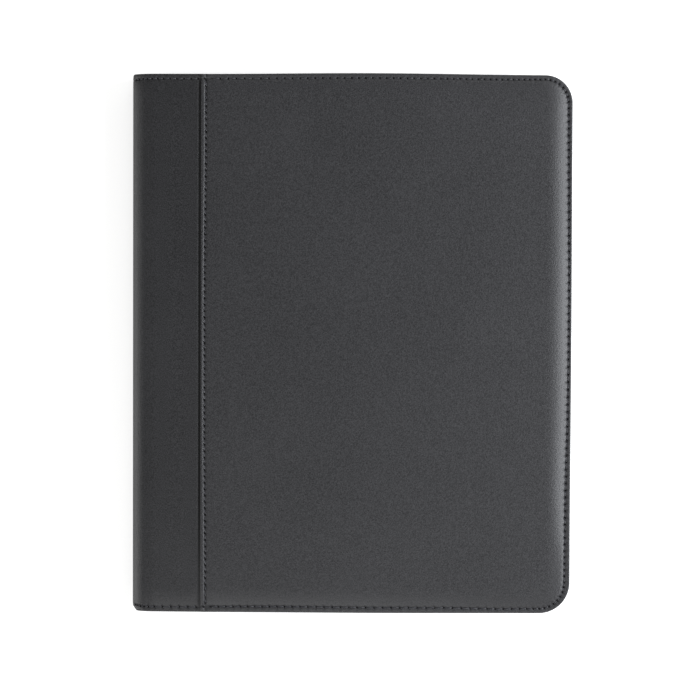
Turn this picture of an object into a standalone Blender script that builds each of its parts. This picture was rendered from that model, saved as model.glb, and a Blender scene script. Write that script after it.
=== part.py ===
"""Zip-round document pouch, lying on its back cover, closed.

Units are metres. +X runs from the spine to the fore edge, +Y from the foot to the head, +Z from the
back cover to the front cover. The origin is under the middle of the closed pouch.

Three stiff parts fold like a book: the back cover, the spine and the front cover. Each cover is a
padded board wrapped in synthetic leather. A zip runs round foot, fore edge and head, in the side
wall between the covers. Inside are a pad of paper in a sleeve, a pen loop and a pocket panel.
"""
import math

import bmesh
import bpy
from mathutils import Vector

# driving dimensions
SHEET_WIDTH = 0.210
SHEET_HEIGHT = 0.297
END_MARGIN = 0.0165
FORE_MARGIN = 0.012
SPINE_MARGIN = 0.046
THICKNESS = 0.026
CORNER_RADIUS = 0.018
SPINE_RADIUS = 0.008
SEAM_INSET = 0.0425
SEAM_STEP = 0.0006
LEATHER = 0.0009
FOAM = 0.0015
BOARD = 0.0016
LINING = 0.0006
TAPE = 0.0006
GAP = 0.0003
BORDER = 0.0045
ROLL = 0.014
EDGE_ROUND = 0.0006
WALL_INSET = 0.0065
TAPE_EDGE = 0.0015
TAPE_LEFT = 0.0062
TOOTH_PITCH = 0.0036
TOOTH_DEPTH = 0.0014
ZIP_START = 0.034
SLIDER_LENGTH = 0.012
SLIDER_HALF_WIDTH = 0.0042
PLATE = 0.0012
PULLER_LENGTH = 0.0245
PULLER_HALF_WIDTH = 0.003
PAD_THICKNESS = 0.0034
PAD_BACKING = 0.0008
BINDING = 0.012
SLEEVE_HEIGHT = 0.120
SLEEVE_HEM = 0.0035
SLEEVE_ROOM = 0.0010
LOOP_WIDTH = 0.014
LOOP_LENGTH = 0.022
LOOP_BAND = 0.0008
LOOP_SHOULDER = 0.0042
LOOP_RISE = 0.0050
LOOP_Y = 0.060
LOOP_SHIFT = 0.0015
POCKET_WIDTH = 0.200
POCKET_HEIGHT = 0.250
POCKET_GUSSET = 0.0024
POCKET_SHEET = 0.0008
POCKET_HEM = 0.003
NOTCH_RADIUS = 0.014
CARD_WIDTH = 0.095
CARD_FRONT = 0.050
CARD_STEP = 0.020
CARD_LEATHER = 0.0007

# derived sizes
WIDTH = SHEET_WIDTH + SPINE_MARGIN + FORE_MARGIN
HEIGHT = SHEET_HEIGHT + 2 * END_MARGIN
SLIDER_X = ZIP_START - WIDTH / 2
FOLD_INSET = SPINE_RADIUS * (1 - math.pi / 4)
COVER = LEATHER + FOAM + BOARD + LINING + 3 * GAP
DROP = COVER - TAPE - GAP - 2 * LEATHER
MIDDLE = THICKNESS / 2
SPINE_X = -WIDTH / 2
SEAM_X = SPINE_X + SEAM_INSET
LINING_INSET = WALL_INSET + TAPE + GAP
BOARD_INSET = BORDER + 0.25 * ROLL
FOAM_INSET = BORDER + 0.36 * ROLL
BOARD_LEFT = SPINE_X + SPINE_RADIUS + 0.002
TOOTH_INSET = WALL_INSET - GAP - TOOTH_DEPTH / 2
FOOT_Y = -HEIGHT / 2
PULLER_Y = FOOT_Y + WALL_INSET - GAP - TOOTH_DEPTH - GAP - PLATE - 0.00105

BACK_AXIS = Vector((SPINE_X + FOLD_INSET, 0, FOLD_INSET))
FRONT_AXIS = Vector((SPINE_X + FOLD_INSET, 0, THICKNESS - FOLD_INSET))
SLIDER_POINT = Vector((SLIDER_X, FOOT_Y + WALL_INSET, MIDDLE))
PULLER_POINT = Vector((SLIDER_X, PULLER_Y, MIDDLE))

for old in list(bpy.data.objects):
    bpy.data.objects.remove(old, do_unlink=True)

pouch = bpy.data.collections.new("zippered_document_pouch")
cutters = bpy.data.collections.new("cutters")
bpy.context.scene.collection.children.link(pouch)
bpy.context.scene.collection.children.link(cutters)


def material(name, colour, roughness, metallic=0.0):
    """One Principled material for one piece."""
    mat = bpy.data.materials.new(name)
    mat.use_nodes = True
    shader = mat.node_tree.nodes["Principled BSDF"]
    shader.inputs["Base Color"].default_value = (*colour, 1.0)
    shader.inputs["Roughness"].default_value = roughness
    shader.inputs["Metallic"].default_value = metallic
    mat.diffuse_color = (*colour, 1.0)
    return mat


LEATHER_LOOK = ((0.045, 0.045, 0.048), 0.5)
LINING_LOOK = ((0.03, 0.03, 0.033), 0.85)
TAPE_LOOK = ((0.012, 0.012, 0.013), 0.9)
BOARD_LOOK = ((0.32, 0.29, 0.25), 0.9)
FOAM_LOOK = ((0.35, 0.35, 0.33), 0.95)
PAPER_LOOK = ((0.85, 0.85, 0.82), 0.9)
METAL_LOOK = ((0.06, 0.06, 0.065), 0.3, 1.0)
PLASTIC_LOOK = ((0.015, 0.015, 0.016), 0.45)


def add(name, bm, look, origin=(0, 0, 0), group=None):
    """Turn a bmesh in row coordinates into a named object with its origin on its own axis."""
    bmesh.ops.remove_doubles(bm, verts=bm.verts, dist=1e-6)
    bmesh.ops.recalc_face_normals(bm, faces=bm.faces)
    bmesh.ops.translate(bm, verts=bm.verts, vec=-Vector(origin))
    mesh = bpy.data.meshes.new(name)
    bm.to_mesh(mesh)
    bm.free()
    obj = bpy.data.objects.new(name, mesh)
    obj.location = origin
    (group or pouch).objects.link(obj)
    if group is cutters:
        obj.hide_render = True
        obj.display_type = "WIRE"
    else:
        mesh.materials.append(material(name, *look))
    return obj


def boolean(obj, cutter, operation="DIFFERENCE"):
    mod = obj.modifiers.new(cutter.name, "BOOLEAN")
    mod.operation = operation
    mod.solver = "EXACT"
    mod.object = cutter


def bevel(obj, width, segments=2):
    mod = obj.modifiers.new("soft edges", "BEVEL")
    mod.width = width
    mod.segments = segments
    mod.limit_method = "ANGLE"
    mod.angle_limit = math.radians(40)


def box_mesh(low, high):
    bm = bmesh.new()
    bmesh.ops.create_cube(bm, size=1)
    low, high = Vector(low), Vector(high)
    for v in bm.verts:
        v.co = Vector([(low[i] + high[i]) / 2 + v.co[i] * (high[i] - low[i]) for i in range(3)])
    return bm


def outline(inset, left, steps=8):
    """The pouch's outline moved in by inset, with a straight left side at x = left."""
    r = max(CORNER_RADIUS - inset, 0.0006)
    x = WIDTH / 2 - inset - r
    y = HEIGHT / 2 - inset - r
    points = [(left, -y - r)]
    for k in range(steps + 1):
        a = math.radians(-90 + 90 * k / steps)
        points.append((x + r * math.cos(a), -y + r * math.sin(a)))
    for k in range(steps + 1):
        a = math.radians(90 * k / steps)
        points.append((x + r * math.cos(a), y + r * math.sin(a)))
    points.append((left, y + r))
    return points


def side_z(side, depth):
    """Height of a level that lies depth below the outer face of the front (+1) or back (-1)."""
    return MIDDLE + side * (MIDDLE - depth)


def loft(name, rings, left, side, look, origin=(0, 0, 0), hollow=False):
    """Join outlines given as (inset, depth). hollow closes the section on itself, with no caps."""
    bm = bmesh.new()
    rows = []
    for inset, depth in rings:
        z = side_z(side, depth)
        rows.append([bm.verts.new((x, y, z)) for x, y in outline(inset, left)])
    pairs = list(zip(rows, rows[1:]))
    if hollow:
        pairs.append((rows[-1], rows[0]))
    for a, b in pairs:
        for k in range(len(a) - 1):
            bm.faces.new((a[k], a[k + 1], b[k + 1], b[k]))
    foot = [row[0] for row in rows]
    head = [row[-1] for row in rows]
    if hollow:
        bm.faces.new(foot)
        bm.faces.new(head)
    else:
        bm.faces.new(rows[0])
        bm.faces.new(rows[-1])
        bm.faces.new(foot + head[::-1])
    return add(name, bm, look, origin)


def roll_depth(inset):
    """Depth of the outer leather below the highest level, pulled down by the edge stitching."""
    t = min(max((inset - BORDER) / ROLL, 0.0), 1.0)
    return DROP * (1 - t) ** 2


ROLL_STEPS = [BORDER + ROLL * t for t in (1.0, 0.7, 0.45, 0.25, 0.1, 0.0)]


def panel(name, side, origin):
    """Main leather panel: flat in the middle, rolled down to a hemmed, stitched border."""
    low = DROP + 2 * LEATHER
    rings = [(d, roll_depth(d)) for d in ROLL_STEPS]
    rings += [(EDGE_ROUND, DROP), (EDGE_ROUND * 0.3, DROP + EDGE_ROUND * 0.3), (0, DROP + EDGE_ROUND)]
    rings += [(0, low - EDGE_ROUND), (EDGE_ROUND * 0.3, low - EDGE_ROUND * 0.3), (EDGE_ROUND, low)]
    rings += [(BORDER, low)]
    rings += [(d, roll_depth(d) + LEATHER) for d in ROLL_STEPS[-2::-1]]
    return loft(name, rings, SEAM_X, side, LEATHER_LOOK, origin)


END_STEPS = [0.0, 0.0004, 0.0010, 0.0018] + ROLL_STEPS[::-1]
END_ROUND = 0.0018


def end_stations():
    """Y stations of the spine covering, closer together near head and foot."""
    low = [FOOT_Y + d for d in END_STEPS]
    return low + [-y for y in reversed(low)]


def end_inset(y):
    """How far the spine edge is rounded in at head and foot."""
    d = HEIGHT / 2 - abs(y)
    if d >= END_ROUND:
        return 0.0
    return END_ROUND - math.sqrt(max(END_ROUND**2 - (END_ROUND - d) ** 2, 0.0))


def strip(name, section, look, origin):
    """A sheet given by section(y), a list of (x, z) points, thickened inwards by Solidify."""
    bm = bmesh.new()
    rows = [[bm.verts.new((x, y, z)) for x, z in section(y)] for y in end_stations()]
    for a, b in zip(rows, rows[1:]):
        for k in range(len(a) - 1):
            bm.faces.new((a[k], b[k], b[k + 1], a[k + 1]))
    obj = add(name, bm, look, origin)
    middle = Vector((0, 0, MIDDLE)) - Vector(origin)
    if sum((f.center - middle).dot(f.normal) for f in obj.data.polygons) < 0:
        obj.data.flip_normals()
    mod = obj.modifiers.new("leather", "SOLIDIFY")
    mod.thickness = LEATHER
    mod.offset = -1
    mod.use_even_offset = True
    return obj


def flap(name, side, origin):
    """Leather from the seam to the fold, with the round that turns it into the spine."""

    def section(y):
        top = SEAM_STEP + roll_depth(HEIGHT / 2 - abs(y)) * 0.93
        flat = SPINE_X + SPINE_RADIUS
        points = [(SEAM_X - GAP, side_z(side, top)), ((SEAM_X + flat) / 2, side_z(side, top))]
        for k in range(7):
            a = math.radians(90 * k / 6)
            x = flat - SPINE_RADIUS * math.sin(a)
            z = SPINE_RADIUS - (SPINE_RADIUS - top) * math.cos(a)
            x += end_inset(y) * math.sin(a)
            points.append((x, side_z(side, z)))
        return points

    return strip(name, section, LEATHER_LOOK, origin)


def spine_sheet(name):
    def section(y):
        x = SPINE_X + end_inset(y)
        return [(x, SPINE_RADIUS + GAP), (x, THICKNESS - SPINE_RADIUS - GAP)]

    return strip(name, section, LEATHER_LOOK, BACK_AXIS)


def slab(name, inset, depth, thick, left, side, look, origin):
    return loft(name, [(inset, depth), (inset, depth + thick)], left, side, look, origin)


def foam(name, side, origin):
    """Foam that follows the underside of the leather, with a thinner tongue under the spine flap."""
    floor = LEATHER + GAP + FOAM
    clear = LEATHER + GAP
    rings = [(FOAM_INSET, floor)]
    for d in (FOAM_INSET, FOAM_INSET + 0.2 * ROLL, BORDER + 0.8 * ROLL, BORDER + ROLL):
        rings.append((d, roll_depth(d) + clear))
    obj = loft(name, rings, SEAM_X + GAP, side, FOAM_LOOK, origin)
    low = [FOOT_Y + BORDER + ROLL * t for t in (0.62, 0.8, 1.0)]
    ys = low + [-y for y in reversed(low)]
    profile = [(y, side_z(side, roll_depth(HEIGHT / 2 - abs(y)) + clear + SEAM_STEP)) for y in ys]
    profile += [(ys[-1], side_z(side, floor)), (ys[0], side_z(side, floor))]
    tongue = bmesh.new()
    near = [tongue.verts.new((BOARD_LEFT, y, z)) for y, z in profile]
    far = [tongue.verts.new((SEAM_X + 0.002, y, z)) for y, z in profile]
    tongue.faces.new(near)
    tongue.faces.new(far[::-1])
    for k in range(len(profile)):
        n = (k + 1) % len(profile)
        tongue.faces.new((near[k], far[k], far[n], near[n]))
    boolean(obj, add(name + "_tongue", tongue, None, group=cutters), "UNION")
    return obj


def tape(name, side, origin):
    """Zip tape folded to an L: a flange under the leather hem and a wall down to the teeth."""
    top = COVER - TAPE
    edge = MIDDLE - TAPE_EDGE
    inner = WALL_INSET + TAPE
    rings = [(0.0015, top), (inner, top), (inner, edge), (WALL_INSET, edge)]
    rings += [(WALL_INSET, top + TAPE), (0.0015, top + TAPE)]
    return loft(name, rings, SPINE_X + TAPE_LEFT, side, TAPE_LOOK, origin, hollow=True)


def zip_path(s, inset, start):
    """Point and outward direction at length s along the zip, from the foot run's spine end."""
    r = CORNER_RADIUS - inset
    x = WIDTH / 2 - CORNER_RADIUS
    y = HEIGHT / 2 - CORNER_RADIUS
    quarter = r * math.pi / 2
    legs = [x - start, quarter, 2 * y, quarter]
    if s <= legs[0]:
        return (start + s, -y - r), (0, -1)
    s -= legs[0]
    if s <= legs[1]:
        a = -math.pi / 2 + s / r
        return (x + r * math.cos(a), -y + r * math.sin(a)), (math.cos(a), math.sin(a))
    s -= legs[1]
    if s <= legs[2]:
        return (x + r, -y + s), (1, 0)
    s -= legs[2]
    if s <= legs[3]:
        a = s / r
        return (x + r * math.cos(a), y + r * math.sin(a)), (math.cos(a), math.sin(a))
    return (x - (s - legs[3]), y + r), (0, 1)


def teeth(name, side, origin):
    """One row of teeth on its bead. Each tooth reaches into the gap between two of the other row."""
    start = SLIDER_X - SLIDER_LENGTH / 2 + 0.0035
    r = CORNER_RADIUS - TOOTH_INSET
    run = WIDTH / 2 - CORNER_RADIUS - start
    length = 2 * run + math.pi * r + HEIGHT - 2 * CORNER_RADIUS - 0.003
    count = int(length / TOOTH_PITCH)
    width = TOOTH_PITCH / 2 - 2 * GAP
    tip, root, crest = -0.0005, 0.0019, 0.0026
    shift = 0.0 if side > 0 else TOOTH_PITCH / 2
    bm = bmesh.new()

    def corner(s, up, out):
        (x, y), (nx, ny) = zip_path(s, TOOTH_INSET, start)
        o = (out - 0.5) * TOOTH_DEPTH
        return bm.verts.new((x + nx * o, y + ny * o, MIDDLE + side * up))

    last = None
    for k in range(count):
        s0 = shift + k * TOOTH_PITCH
        a = s0 + (TOOTH_PITCH - width) / 2
        b = a + width
        s1 = s0 + TOOTH_PITCH
        if last is None:
            last = [corner(s0, z, o) for z in (root, crest) for o in (0, 1)]
        end = [corner(s1, z, o) for z in (root, crest) for o in (0, 1)]
        neck = [corner(s, root, o) for s in (a, b) for o in (0, 1)]
        head = [corner(s, tip, o) for s in (a, b) for o in (0, 1)]
        for o in (0, 1):
            bm.faces.new((last[o], neck[o], neck[2 + o], end[o], end[2 + o], last[2 + o]))
            bm.faces.new((neck[o], head[o], head[2 + o], neck[2 + o]))
        bm.faces.new((last[2], last[3], end[3], end[2]))
        bm.faces.new((last[0], last[1], neck[1], neck[0]))
        bm.faces.new((neck[2], neck[3], end[1], end[0]))
        bm.faces.new((head[0], head[1], head[3], head[2]))
        bm.faces.new((neck[0], neck[1], head[1], head[0]))
        bm.faces.new((head[2], head[3], neck[3], neck[2]))
        if k == 0:
            bm.faces.new((last[0], last[2], last[3], last[1]))
        last = end
    bm.faces.new((last[0], last[1], last[3], last[2]))
    return add(name, bm, PLASTIC_LOOK, origin)


def prism(points, y0, y1):
    """A polygon of (x, z) points stretched from y0 to y1."""
    bm = bmesh.new()
    a = [bm.verts.new((x, y0, z)) for x, z in points]
    b = [bm.verts.new((x, y1, z)) for x, z in points]
    bm.faces.new(a)
    bm.faces.new(b[::-1])
    for k in range(len(a)):
        n = (k + 1) % len(a)
        bm.faces.new((a[k], b[k], b[n], a[n]))
    return bm


# back cover: leather, foam, board and lining
panel("back_panel", -1, (0, 0, 0))
flap("back_spine_flap", -1, (0, 0, 0))
foam("back_foam", -1, (0, 0, 0))
board_depth = LEATHER + GAP + FOAM + GAP
lining_depth = COVER - LINING
slab("back_board", BOARD_INSET, board_depth, BOARD, BOARD_LEFT, -1, BOARD_LOOK, (0, 0, 0))
lining_left = SPINE_X + 0.005
slab("back_lining", LINING_INSET, lining_depth, LINING, lining_left, -1, LINING_LOOK, (0, 0, 0))

# spine: leather, stiffener and lining
spine_sheet("spine_panel")
spine_low = SPINE_RADIUS + 3 * GAP
board_x = SPINE_X + LEATHER + GAP
spine_board = box_mesh(
    (board_x, FOOT_Y + BOARD_INSET, spine_low),
    (board_x + 0.75 * BOARD, -FOOT_Y - BOARD_INSET, THICKNESS - spine_low),
)
add("spine_board", spine_board, BOARD_LOOK, BACK_AXIS)
lining_x = board_x + 0.75 * BOARD + GAP
spine_lining = box_mesh(
    (lining_x, FOOT_Y + LINING_INSET, spine_low),
    (lining_x + LINING, -FOOT_Y - LINING_INSET, THICKNESS - spine_low),
)
add("spine_lining", spine_lining, LINING_LOOK, BACK_AXIS)

# front cover: the same layers, turned over
panel("front_panel", 1, FRONT_AXIS)
flap("front_spine_flap", 1, FRONT_AXIS)
foam("front_foam", 1, FRONT_AXIS)
slab("front_board", BOARD_INSET, board_depth, BOARD, BOARD_LEFT, 1, BOARD_LOOK, FRONT_AXIS)
slab("front_lining", LINING_INSET, lining_depth, LINING, lining_left, 1, LINING_LOOK, FRONT_AXIS)

# zip: a tape and a row of teeth on each cover, with stops at both ends
tape("back_zip_tape", -1, (0, 0, 0))
tape("front_zip_tape", 1, FRONT_AXIS)
teeth("back_zip_teeth", -1, (0, 0, 0))
teeth("front_zip_teeth", 1, FRONT_AXIS)
stop_y = FOOT_Y + TOOTH_INSET
stop_x = SLIDER_X - SLIDER_LENGTH / 2 - 0.0012
for name, side, origin in (("back_top_stop", -1, (0, 0, 0)), ("front_top_stop", 1, FRONT_AXIS)):
    z0, z1 = sorted((MIDDLE + side * 0.0006, MIDDLE + side * 0.0030))
    stop = box_mesh(
        (stop_x - 0.0022, stop_y - TOOTH_DEPTH / 2, z0), (stop_x, stop_y + TOOTH_DEPTH / 2, z1)
    )
    add(name, stop, METAL_LOOK, origin)
bottom = box_mesh(
    (stop_x - 0.003, -stop_y - TOOTH_DEPTH / 2, MIDDLE - 0.0028),
    (stop_x + 0.0015, -stop_y + TOOTH_DEPTH / 2, MIDDLE + 0.0028),
)
add("bottom_stop", bottom, METAL_LOOK)

# slider: two plates joined by a neck, side flanges that hold the teeth, and a bail for the puller
half = SLIDER_LENGTH / 2
wide = SLIDER_HALF_WIDTH
plan = [(-half, wide * 0.62), (-half * 0.8, wide), (-half * 0.17, wide), (half, wide * 0.81)]
plan = plan + [(x, -z) for x, z in reversed(plan)]
plan = [(SLIDER_X + x, MIDDLE + z) for x, z in plan]
outer_in = FOOT_Y + WALL_INSET - GAP - TOOTH_DEPTH - GAP
inner_out = FOOT_Y + WALL_INSET + TAPE + GAP
slider = add("slider_body", prism(plan, outer_in - PLATE, outer_in), METAL_LOOK, SLIDER_POINT)
joins = {
    "slider_inner_plate": prism(plan, inner_out, inner_out + PLATE),
    "slider_neck": box_mesh(
        (SLIDER_X - half + 0.0003, outer_in - PLATE / 2, MIDDLE - 0.0011),
        (SLIDER_X - half + 0.0028, inner_out + PLATE / 2, MIDDLE + 0.0011),
    ),
}
for sign in (1, -1):
    lip = [(-half * 0.8, wide), (-half * 0.17, wide), (half, wide * 0.81)]
    lip += [(half, wide * 0.81 - 0.0005), (-half * 0.17, wide - 0.0006), (-half * 0.8, wide - 0.0006)]
    points = [(SLIDER_X + x, MIDDLE + sign * z) for x, z in lip]
    joins[f"slider_lip_{sign}"] = prism(points, outer_in - PLATE / 2, outer_in + TOOTH_DEPTH)
bail_out = outer_in - PLATE - 0.0028
bail = [(-0.0045, 0.0006), (-0.0038, -0.0022), (-0.0028, -0.0028), (0.0028, -0.0028)]
bail += [(0.0038, -0.0022), (0.0045, 0.0006), (0.0033, 0.0006), (0.0027, -0.0016)]
bail += [(0.0021, -0.0020), (-0.0021, -0.0020), (-0.0027, -0.0016), (-0.0033, 0.0006)]
bm = bmesh.new()
low = [bm.verts.new((SLIDER_X + x, outer_in - PLATE + y, MIDDLE - 0.0008)) for x, y in bail]
top = [bm.verts.new((SLIDER_X + x, outer_in - PLATE + y, MIDDLE + 0.0008)) for x, y in bail]
bm.faces.new(low)
bm.faces.new(top[::-1])
for k in range(len(bail)):
    n = (k + 1) % len(bail)
    bm.faces.new((low[k], top[k], top[n], low[n]))
joins["slider_bail"] = bm
for name, mesh in joins.items():
    boolean(slider, add(name, mesh, None, group=cutters), "UNION")

# puller: two arms on a cross pin through the bail, and a flat tab with a slot near its end
pin = 0.0005
tab_x = SLIDER_X + half
puller = box_mesh(
    (tab_x, PULLER_Y - pin, MIDDLE - PULLER_HALF_WIDTH),
    (SLIDER_X + PULLER_LENGTH, PULLER_Y + pin, MIDDLE + PULLER_HALF_WIDTH),
)
puller = add("zip_puller", puller, METAL_LOOK, PULLER_POINT)
pin_low = (SLIDER_X - pin, PULLER_Y - pin, MIDDLE - 0.0024)
pin_high = (SLIDER_X + pin, PULLER_Y + pin, MIDDLE + 0.0024)
boolean(puller, add("puller_pin", box_mesh(pin_low, pin_high), None, group=cutters), "UNION")
for sign in (1, -1):
    z0, z1 = sorted((MIDDLE + sign * 0.0012, MIDDLE + sign * 0.0024))
    arm = box_mesh((SLIDER_X - pin, PULLER_Y - pin, z0), (tab_x + 0.002, PULLER_Y + pin, z1))
    boolean(puller, add(f"puller_arm_{sign}", arm, None, group=cutters), "UNION")
slot = box_mesh(
    (SLIDER_X + PULLER_LENGTH - 0.0075, PULLER_Y - 0.002, MIDDLE - 0.0015),
    (SLIDER_X + PULLER_LENGTH - 0.0018, PULLER_Y + 0.002, MIDDLE + 0.0015),
)
boolean(puller, add("puller_slot", slot, None, group=cutters))

# writing pad: backing card under the sleeve, sheets over it, binding along the head
pad_right = WIDTH / 2 - FORE_MARGIN
pad_left = pad_right - SHEET_WIDTH
pad_y = SHEET_HEIGHT / 2
z = COVER + GAP
backing = box_mesh((pad_left, -pad_y, z), (pad_right, pad_y, z + PAD_BACKING))
add("notepad_backing", backing, BOARD_LOOK)
sleeve_low = z
z += PAD_BACKING + GAP
sleeve = box_mesh(
    (pad_left - SLEEVE_ROOM - SLEEVE_HEM, -pad_y - SLEEVE_ROOM - SLEEVE_HEM / 2, sleeve_low),
    (pad_right + SLEEVE_ROOM + SLEEVE_HEM / 2, -pad_y + SLEEVE_HEIGHT, z + LINING),
)
sleeve = add("pad_sleeve", sleeve, LEATHER_LOOK)
room = box_mesh(
    (pad_left - SLEEVE_ROOM, -pad_y - SLEEVE_ROOM, 0), (pad_right + SLEEVE_ROOM, pad_y, z)
)
boolean(sleeve, add("sleeve_room", room, None, group=cutters))
z += LINING + GAP
paper = box_mesh((pad_left, -pad_y, z), (pad_right, pad_y, z + PAD_THICKNESS))
bevel(add("notepad_paper", paper, PAPER_LOOK), 0.0003, 1)
pad_top = z + PAD_THICKNESS
fold = [(pad_y - BINDING, pad_top + GAP), (pad_y + GAP, pad_top + GAP), (pad_y + GAP, sleeve_low)]
fold += [(pad_y + 2 * GAP, sleeve_low), (pad_y + 2 * GAP, pad_top + 2 * GAP)]
fold += [(pad_y - BINDING, pad_top + 2 * GAP)]
bm = bmesh.new()
low = [bm.verts.new((pad_left, y, h)) for y, h in fold]
top = [bm.verts.new((pad_right, y, h)) for y, h in fold]
bm.faces.new(low)
bm.faces.new(top[::-1])
for k in range(len(fold)):
    n = (k + 1) % len(fold)
    bm.faces.new((low[k], top[k], top[n], low[n]))
add("notepad_binding", bm, TAPE_LOOK)

# pen loop beside the pad: a band with a flat foot and a round top
loop_x = (lining_left + pad_left - SLEEVE_HEM) / 2 + LOOP_SHIFT
base = COVER + GAP
shoulder = base + LOOP_SHOULDER


def loop_points(half_x, foot, rise):
    points = [(loop_x - half_x, foot), (loop_x + half_x, foot)]
    for k in range(13):
        a = math.pi * k / 12
        points.append((loop_x + half_x * math.cos(a), shoulder + rise * math.sin(a)))
    return points


outer_loop = loop_points(LOOP_WIDTH / 2, base, LOOP_RISE)
inner_loop = loop_points(LOOP_WIDTH / 2 - LOOP_BAND, base + LOOP_BAND, LOOP_RISE - LOOP_BAND)
bm = bmesh.new()
ends = []
for y in (LOOP_Y - LOOP_LENGTH / 2, LOOP_Y + LOOP_LENGTH / 2):
    a = [bm.verts.new((x, y, h)) for x, h in outer_loop]
    b = [bm.verts.new((x, y, h)) for x, h in inner_loop]
    ends.append((a, b))
(a0, b0), (a1, b1) = ends
for k in range(len(a0)):
    n = (k + 1) % len(a0)
    bm.faces.new((a0[k], a0[n], a1[n], a1[k]))
    bm.faces.new((b0[k], b1[k], b1[n], b0[n]))
    bm.faces.new((a0[k], b0[k], b0[n], a0[n]))
    bm.faces.new((a1[k], a1[n], b1[n], b1[k]))
add("pen_loop", bm, TAPE_LOOK)

# pocket inside the front cover: three edge strips, a panel with a finger notch, card pockets
pocket_left = (pad_left + pad_right - POCKET_WIDTH) / 2 - GAP
pocket_right = pocket_left + POCKET_WIDTH
pocket_foot = -pad_y - GAP
pocket_head = pocket_foot + POCKET_HEIGHT
edge = POCKET_HEM
strip_low = THICKNESS - COVER - GAP - POCKET_GUSSET
strip_high = THICKNESS - COVER - GAP
strips = {
    "pocket_side_left": ((pocket_left, pocket_foot), (pocket_left + edge, pocket_head)),
    "pocket_side_right": ((pocket_right - edge, pocket_foot), (pocket_right, pocket_head)),
    "pocket_bottom": (
        (pocket_left + edge + GAP, pocket_foot), (pocket_right - edge - GAP, pocket_foot + edge)
    ),
}
for name, ((x0, y0), (x1, y1)) in strips.items():
    strip_box = box_mesh((x0, y0, strip_low), (x1, y1, strip_high))
    add(name, strip_box, LINING_LOOK, FRONT_AXIS)
sheet_high = strip_low - GAP
sheet_low = sheet_high - POCKET_SHEET
sheet = box_mesh((pocket_left, pocket_foot, sheet_low), (pocket_right, pocket_head, sheet_high))
sheet = add("pocket_panel", sheet, LEATHER_LOOK, FRONT_AXIS)
bm = bmesh.new()
bmesh.ops.create_cone(
    bm, cap_ends=True, segments=32, radius1=NOTCH_RADIUS, radius2=NOTCH_RADIUS, depth=THICKNESS
)
notch_x = (pocket_left + pocket_right) / 2
bmesh.ops.translate(bm, verts=bm.verts, vec=(notch_x, pocket_head + NOTCH_RADIUS / 5, sheet_low))
boolean(sheet, add("finger_notch", bm, None, group=cutters))
card_left = pocket_left + 2 * POCKET_HEM
card_high = sheet_low - GAP
y = pocket_foot + 2 * POCKET_HEM
for k, tall in enumerate((CARD_FRONT, CARD_STEP, CARD_STEP)):
    card = box_mesh(
        (card_left, y, card_high - CARD_LEATHER), (card_left + CARD_WIDTH, y + tall, card_high)
    )
    add(f"card_pocket_{k + 1}", card, LEATHER_LOOK, FRONT_AXIS)
    y += tall + 2 * GAP

print("closed size", WIDTH, HEIGHT, THICKNESS, "cover", COVER, "drop", DROP)
print("axes", tuple(BACK_AXIS), tuple(FRONT_AXIS), tuple(PULLER_POINT))
print("pad", pad_left, pad_right, "top", pad_top, "cards", card_high - CARD_LEATHER)
print("loop", loop_x, "pieces", len(pouch.objects))
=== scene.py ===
# %% [markdown]
# # A zip-round document pouch in black synthetic leather
# The pouch lies on its back cover, front cover up, and the camera looks nearly straight down.
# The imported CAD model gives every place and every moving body. This file dresses it piece by
# piece: leather, stitching, zip, then everything inside.

import math

import bmesh
import bpy
import numpy as np
from mathutils import Matrix, Vector, noise
from mathutils.geometry import delaunay_2d_cdt


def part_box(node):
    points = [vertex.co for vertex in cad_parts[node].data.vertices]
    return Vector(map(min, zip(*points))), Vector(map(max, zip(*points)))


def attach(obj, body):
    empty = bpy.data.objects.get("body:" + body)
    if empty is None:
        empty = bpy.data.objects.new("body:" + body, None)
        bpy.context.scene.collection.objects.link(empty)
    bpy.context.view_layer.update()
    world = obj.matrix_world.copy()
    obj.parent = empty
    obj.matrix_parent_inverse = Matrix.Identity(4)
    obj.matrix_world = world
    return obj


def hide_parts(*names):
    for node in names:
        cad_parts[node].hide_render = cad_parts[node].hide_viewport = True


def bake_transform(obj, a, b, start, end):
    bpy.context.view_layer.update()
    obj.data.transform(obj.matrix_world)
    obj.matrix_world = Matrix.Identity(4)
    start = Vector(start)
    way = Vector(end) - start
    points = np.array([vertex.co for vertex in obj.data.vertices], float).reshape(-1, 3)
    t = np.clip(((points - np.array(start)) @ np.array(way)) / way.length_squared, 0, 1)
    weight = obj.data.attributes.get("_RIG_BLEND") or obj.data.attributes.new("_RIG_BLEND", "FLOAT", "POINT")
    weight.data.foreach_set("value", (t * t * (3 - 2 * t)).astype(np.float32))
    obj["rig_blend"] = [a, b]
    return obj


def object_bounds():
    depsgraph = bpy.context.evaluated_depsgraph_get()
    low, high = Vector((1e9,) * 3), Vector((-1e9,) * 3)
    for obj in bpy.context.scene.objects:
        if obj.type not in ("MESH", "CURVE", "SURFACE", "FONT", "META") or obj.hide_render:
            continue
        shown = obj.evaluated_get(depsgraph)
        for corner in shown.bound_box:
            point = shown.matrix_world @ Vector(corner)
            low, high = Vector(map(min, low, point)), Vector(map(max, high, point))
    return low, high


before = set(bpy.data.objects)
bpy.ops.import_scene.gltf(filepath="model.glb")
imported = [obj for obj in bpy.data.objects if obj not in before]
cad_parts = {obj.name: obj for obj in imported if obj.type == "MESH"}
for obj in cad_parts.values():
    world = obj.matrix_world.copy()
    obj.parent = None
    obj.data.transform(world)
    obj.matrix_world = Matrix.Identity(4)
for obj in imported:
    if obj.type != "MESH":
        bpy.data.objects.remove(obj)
cad_box = [list(map(float, corner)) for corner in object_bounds()]
MM = 0.001
print("CAD box", cad_box)

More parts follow.
